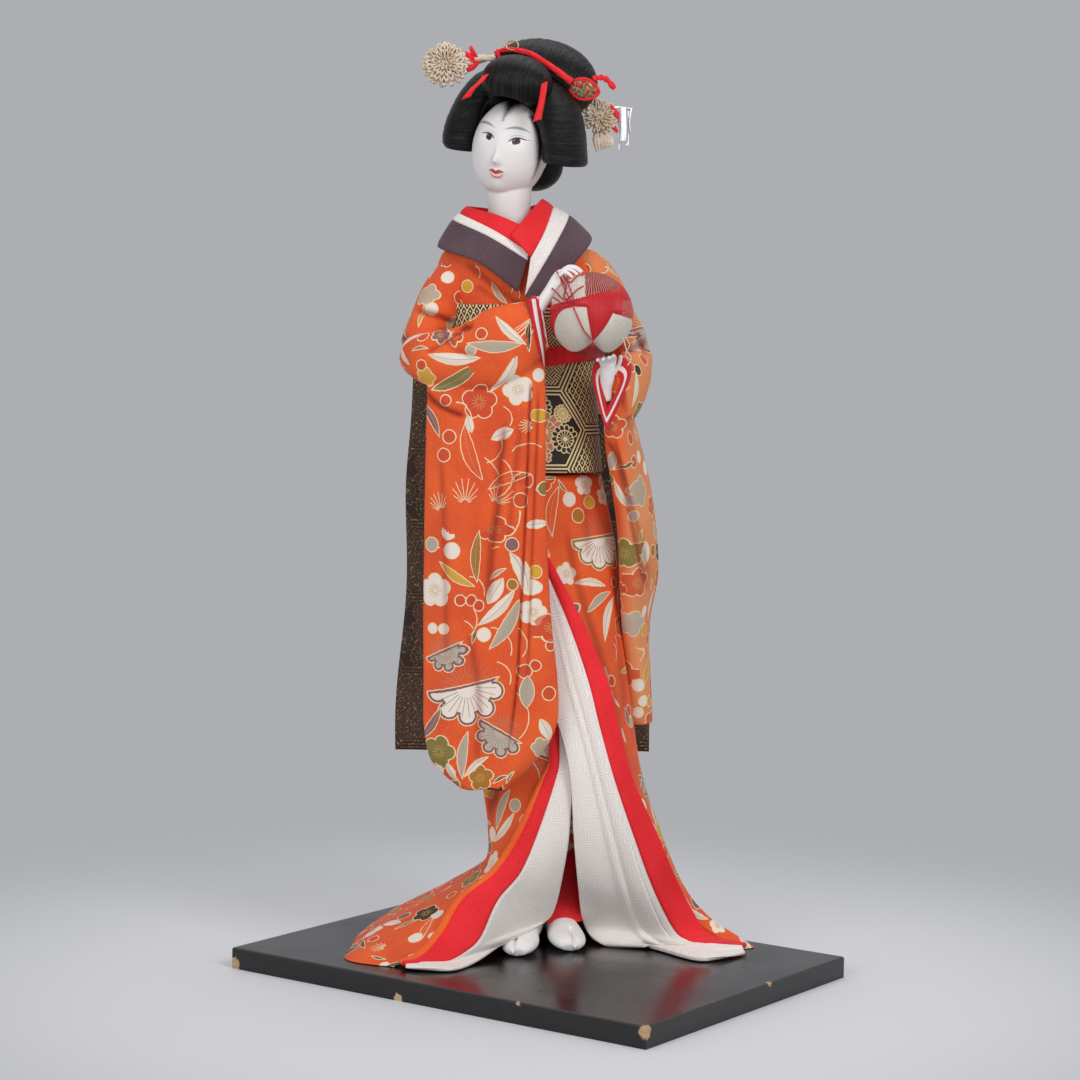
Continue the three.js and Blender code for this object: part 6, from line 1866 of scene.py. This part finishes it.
def ornaments():
    tiers = ((22, 1.6, 0.05, 1.12), (20, 1.4, 0.28, 1.0), (16, 1.2, 0.6, 0.78), (9, 0.9, 1.0, 0.55))
    right = flower("flower_pin_right", [-57.6, 2, 493], (78, -12), tiers, 3)

    def twisted(along_it, round_it):
        return 1 + 0.2 * np.sin(round_it * 8 * math.pi + along_it * 14)

    path = [[-48, 5, 494, 3.2, 3.2], [-41, 10, 497, 2.4, 2.4], [-31, 16, 499, 1.4, 1.4]]
    stem = shell("stem", closed(limb(path, 16, 30, swell=twisted)))
    dress(joined("flower_pin_right", [right, stem]), STRAW, "straw_petals", "flower_pin_right")
    bits = [[[-39.5, 10, 497, 0.8, 0.8], [-42.5, 6, 500.5, 1.0, 1.6], [-44, 4, 503.5, 0.5, 1.2]],
            [[-39.5, 10, 496.5, 0.8, 0.8], [-43.5, 6, 498, 1.0, 1.7], [-47, 4, 500, 0.5, 1.2]],
            [[-39.5, 10, 496, 0.8, 0.8], [-43.5, 6, 495, 1.0, 1.7], [-47.5, 4, 495.5, 0.5, 1.2]],
            [[-39.5, 10, 495.5, 0.8, 0.8], [-42.5, 6, 492.5, 1.0, 1.6], [-45.5, 4, 490.5, 0.5, 1.2]],
            [[34, 30, 474.5, 0.8, 1.0], [37.5, 31, 470.5, 1.1, 1.5], [38.5, 32, 465.5, 0.5, 1.0]],
            [[33, 31, 467, 0.6, 0.8], [36, 31, 463, 1.0, 1.4], [38.5, 32, 460, 0.5, 0.9]]]
    dress(shell("red_bits", [part for path in bits for part in closed(limb(path, 12, 16))]), RED, "red_crepe")

    tiers = ((18, 1.4, 0.1, 0.92), (15, 1.2, 0.4, 0.8), (8, 0.9, 0.9, 0.55))
    left = flower("flower_pin_left", [28, 30, 468.5], (70, 34), tiers, 8)
    hanging = []
    for number in range(6):
        lean = number - 2.5
        path = [[30 + 0.9 * lean, 29 + (number % 2) * 1.5, 462, 1.0, 0.3],
                [30.5 + 1.9 * lean, 28.5, 456 - number % 3, 1.3, 0.3],
                [30.5 + 1.4 * lean, 29, 450 + 0.6 * lean, 0.5, 0.3]]
        hanging += closed(limb(path, 8, 14, (0, 1, 0)))
    dress(joined("flower_pin_left", [left, shell("hanging", hanging)]), STRAW, "straw_petals",
          "flower_pin_left")

    holder = [[33, 33, 472, 1.4, 1.4], [38, 35, 474, 0.7, 0.7], [46, 35.6, 473.4, 0.5, 0.5]]
    strips = closed(limb(holder, 12, 20))
    for x_at, y_at, wide, long, twist in ((42.2, 34, 4.2, 19, 0.1), (40, 36, 2.2, 24, 0.7),
                                          (44.4, 37, 2.4, 21.5, -0.4), (46, 36.4, 1.4, 14, 0.9)):
        u, v = field(3, 40)
        x = x_at + (u - 0.5) * wide * np.cos(v * twist) + 0.3 * np.sin(v * 5 + x_at)
        y = y_at + (u - 0.5) * wide * (0.3 + np.sin(v * twist))
        strips += panel(np.stack([x, y, 474 - v * long], -1), 0.35)
    dress(shell("silver_strips", strips), SILVER, "silver_strip", "silver_strips")
    loop = [[-21 + 3.4 * math.cos(a), 19.5, 506 + 2.6 * math.sin(a), 0.45, 0.45]
            for a in share(12) * 2 * math.pi]
    dress(shell("gilt_loop", closed(limb(loop, 8, 48, (0, 1, 0)))), GILT, "silver_strip")


def ribbons(hair):
    """The topknot's band and bow, laid on the hair as the camera sees them, and an end at each temple."""
    look = seen_on(hair)
    line = along(TOPKNOT_BAND, share(60))
    on_hair = np.array([look([x, 22, z], 0.5) for x, z in line])
    on_hair[:, 1] = np.convolve(np.pad(on_hair[:, 1], 3, "edge"), np.full(7, 1 / 7), "valid") - 0.8
    wide = 1.2 + 0.7 * share(60)
    stations = np.concatenate([on_hair, np.full((61, 1), 1.3), wide[:, None]], 1)

    def crinkled(along_it, round_it):
        return 1 + 0.1 * np.sin(along_it * 40 + 3 * np.sin(round_it * 12))

    band = closed(limb(stations, 24, 120, swell=crinkled))
    centre = look(BOW["at"], 1.6)
    half_x, half_z = BOW["half"]
    tilt = math.radians(BOW["turn"])

    def cushion(d):
        x, z = d[..., 0], d[..., 2] * (1 - 0.35 * d[..., 0] ** 2)
        pleat = 1 + 0.12 * np.sin(z * 14 + 3 * x)
        return np.stack([x * math.cos(tilt) - z * math.sin(tilt) * half_z / half_x, d[..., 1] * pleat,
                         z * math.cos(tilt) + x * math.sin(tilt) * half_x / half_z], -1)

    bow = plain(ball(centre, (half_x, 3.2, half_z), 48, 32, cushion))
    a = share(60) * 2 * math.pi
    rim = np.stack([half_x * 1.02 * np.cos(a), np.full(61, -0.6),
                    half_z * 1.02 * np.sin(a) * (1 - 0.3 * np.cos(a) ** 2)], -1)
    rim = np.stack([rim[:, 0] * math.cos(tilt) - rim[:, 2] * math.sin(tilt), rim[:, 1],
                    rim[:, 2] * math.cos(tilt) + rim[:, 0] * math.sin(tilt)], -1) + centre
    rim = closed(limb(np.concatenate([rim, np.full((61, 2), 0.8)], 1), 10, 90, (0, 1, 0)))
    twist = np.array([[x, centre[1] + 2 + 0.3 * k, z, 1.2, 1.5] for k, (x, z) in enumerate(TWIST)])
    twist = closed(limb(twist, 24, 60, swell=lambda a, b: 1 + 0.2 * np.sin((b + a * 2.2) * 4 * math.pi)))
    knot = shell("bow", bow)
    knot.data.materials.append(BOW_SILK)
    strand = shell("band", band + rim + twist)
    strand.data.materials.append(RED)
    dress(joined("topknot_ribbon", [knot, strand]), None, "red_crepe", "topknot_ribbon")
    for side, path in TEMPLE.items():
        u, v = field(12, 40)
        p = along(path, v) + np.stack([(u - 0.5) * (3.2 + 1.4 * v**2), 0 * u, (u - 0.5) * 1.4], -1)
        p[..., 1] -= 1.1 * np.sin(u * math.pi) + 0.35 * np.sin(u * 9 + v * 5)
        dress(shell("temple_ribbon_" + side, panel(p, 1.2)), RED, "red_crepe", "temple_ribbon_" + side)


# The stage
def backdrop():
    """A pale floor that melts into an even grey studio, and the colours shown as they are."""
    bpy.context.scene.view_settings.view_transform = "Standard"
    mesh = bpy.data.meshes.new("floor")
    ring = [(2 * math.cos(a), 2 * math.sin(a), 0) for a in share(64)[:-1] * 2 * math.pi]
    mesh.from_pydata(ring, [], [list(range(64))])
    floor = bpy.data.objects.new("floor", mesh)
    bpy.context.scene.collection.objects.link(floor)
    made, put = material("pale_floor")
    reach = put("VectorMath LENGTH", put("TexCoord", out="Object"))
    seen = put("MapRange", reach, 0.18, 0.5, 1.0, 0.0, interpolation_type="SMOOTHSTEP")
    paint = put("BsdfPrincipled", named={"Base Color": colour("#dcdde0"), "Roughness": 0.95})
    put("OutputMaterial", put("MixShader", seen, put("BsdfTransparent"), paint))
    mesh.materials.append(made)
    world = bpy.data.worlds.new("studio")
    bpy.context.scene.world = world
    world.use_nodes = True
    world.node_tree.nodes["Background"].inputs[0].default_value = colour("#adaeb2")
    world.node_tree.nodes["Background"].inputs[1].default_value = 1.0


def lamp(name, at, aim, size, power):
    data = bpy.data.lights.new(name, "AREA")
    data.shape, data.size, data.energy = "DISK", size, power
    made = bpy.data.objects.new(name, data)
    made.location = at
    made.rotation_euler = (Vector(aim) - Vector(at)).to_track_quat("-Z", "Y").to_euler()
    made.visible_camera = False
    bpy.context.scene.collection.objects.link(made)


def camera():
    a, e, r = (math.radians(CAMERA[k]) for k in ("azimuth", "elevation", "roll"))
    ahead = Vector((-math.sin(a) * math.cos(e), math.cos(a) * math.cos(e), -math.sin(e)))
    right = Vector((math.cos(a), math.sin(a), 0))
    up = right.cross(ahead)
    across = right * math.cos(r) + up * math.sin(r)
    upright = up * math.cos(r) - right * math.sin(r)
    data = bpy.data.cameras.new("camera")
    data.lens, data.sensor_width = CAMERA["lens"], 36
    data.clip_start, data.clip_end = 0.05, 50
    made = bpy.data.objects.new("camera", data)
    made.matrix_world = Matrix((across, upright, -ahead)).transposed().to_4x4()
    made.location = CAMERA["at"]
    bpy.context.scene.collection.objects.link(made)
    bpy.context.scene.camera = made


THREAD = wound_thread()
BOW_SILK = patterned_silk()
camera()
backdrop()
lamp("key", (1.5, -0.5, 1.15), (0, 0, 0.3), 0.7, 12.5)
lamp("fill", (0.1, -1.7, 0.75), (0, 0, 0.3), 1.0, 9.2)
lamp("top", (-0.2, 0.3, 1.7), (0, 0, 0.2), 1.2, 6)
for make in (under_robes, linings, kimono_skirt, folded_edge, underskirt, feet, kimono_bodice, obi, obi_cord,
             obi_knot, sleeve_left, collars, thread_ball, head, ornaments):
    make()
hands(sleeve_right())
ribbons(wig())
obi_tail("obi_tail_right", -34, -38, 60, 0.04)
obi_tail("obi_tail_left", 4, 18, 65, -0.04)
dress(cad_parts["board"], LACQUER, "black_lacquer")
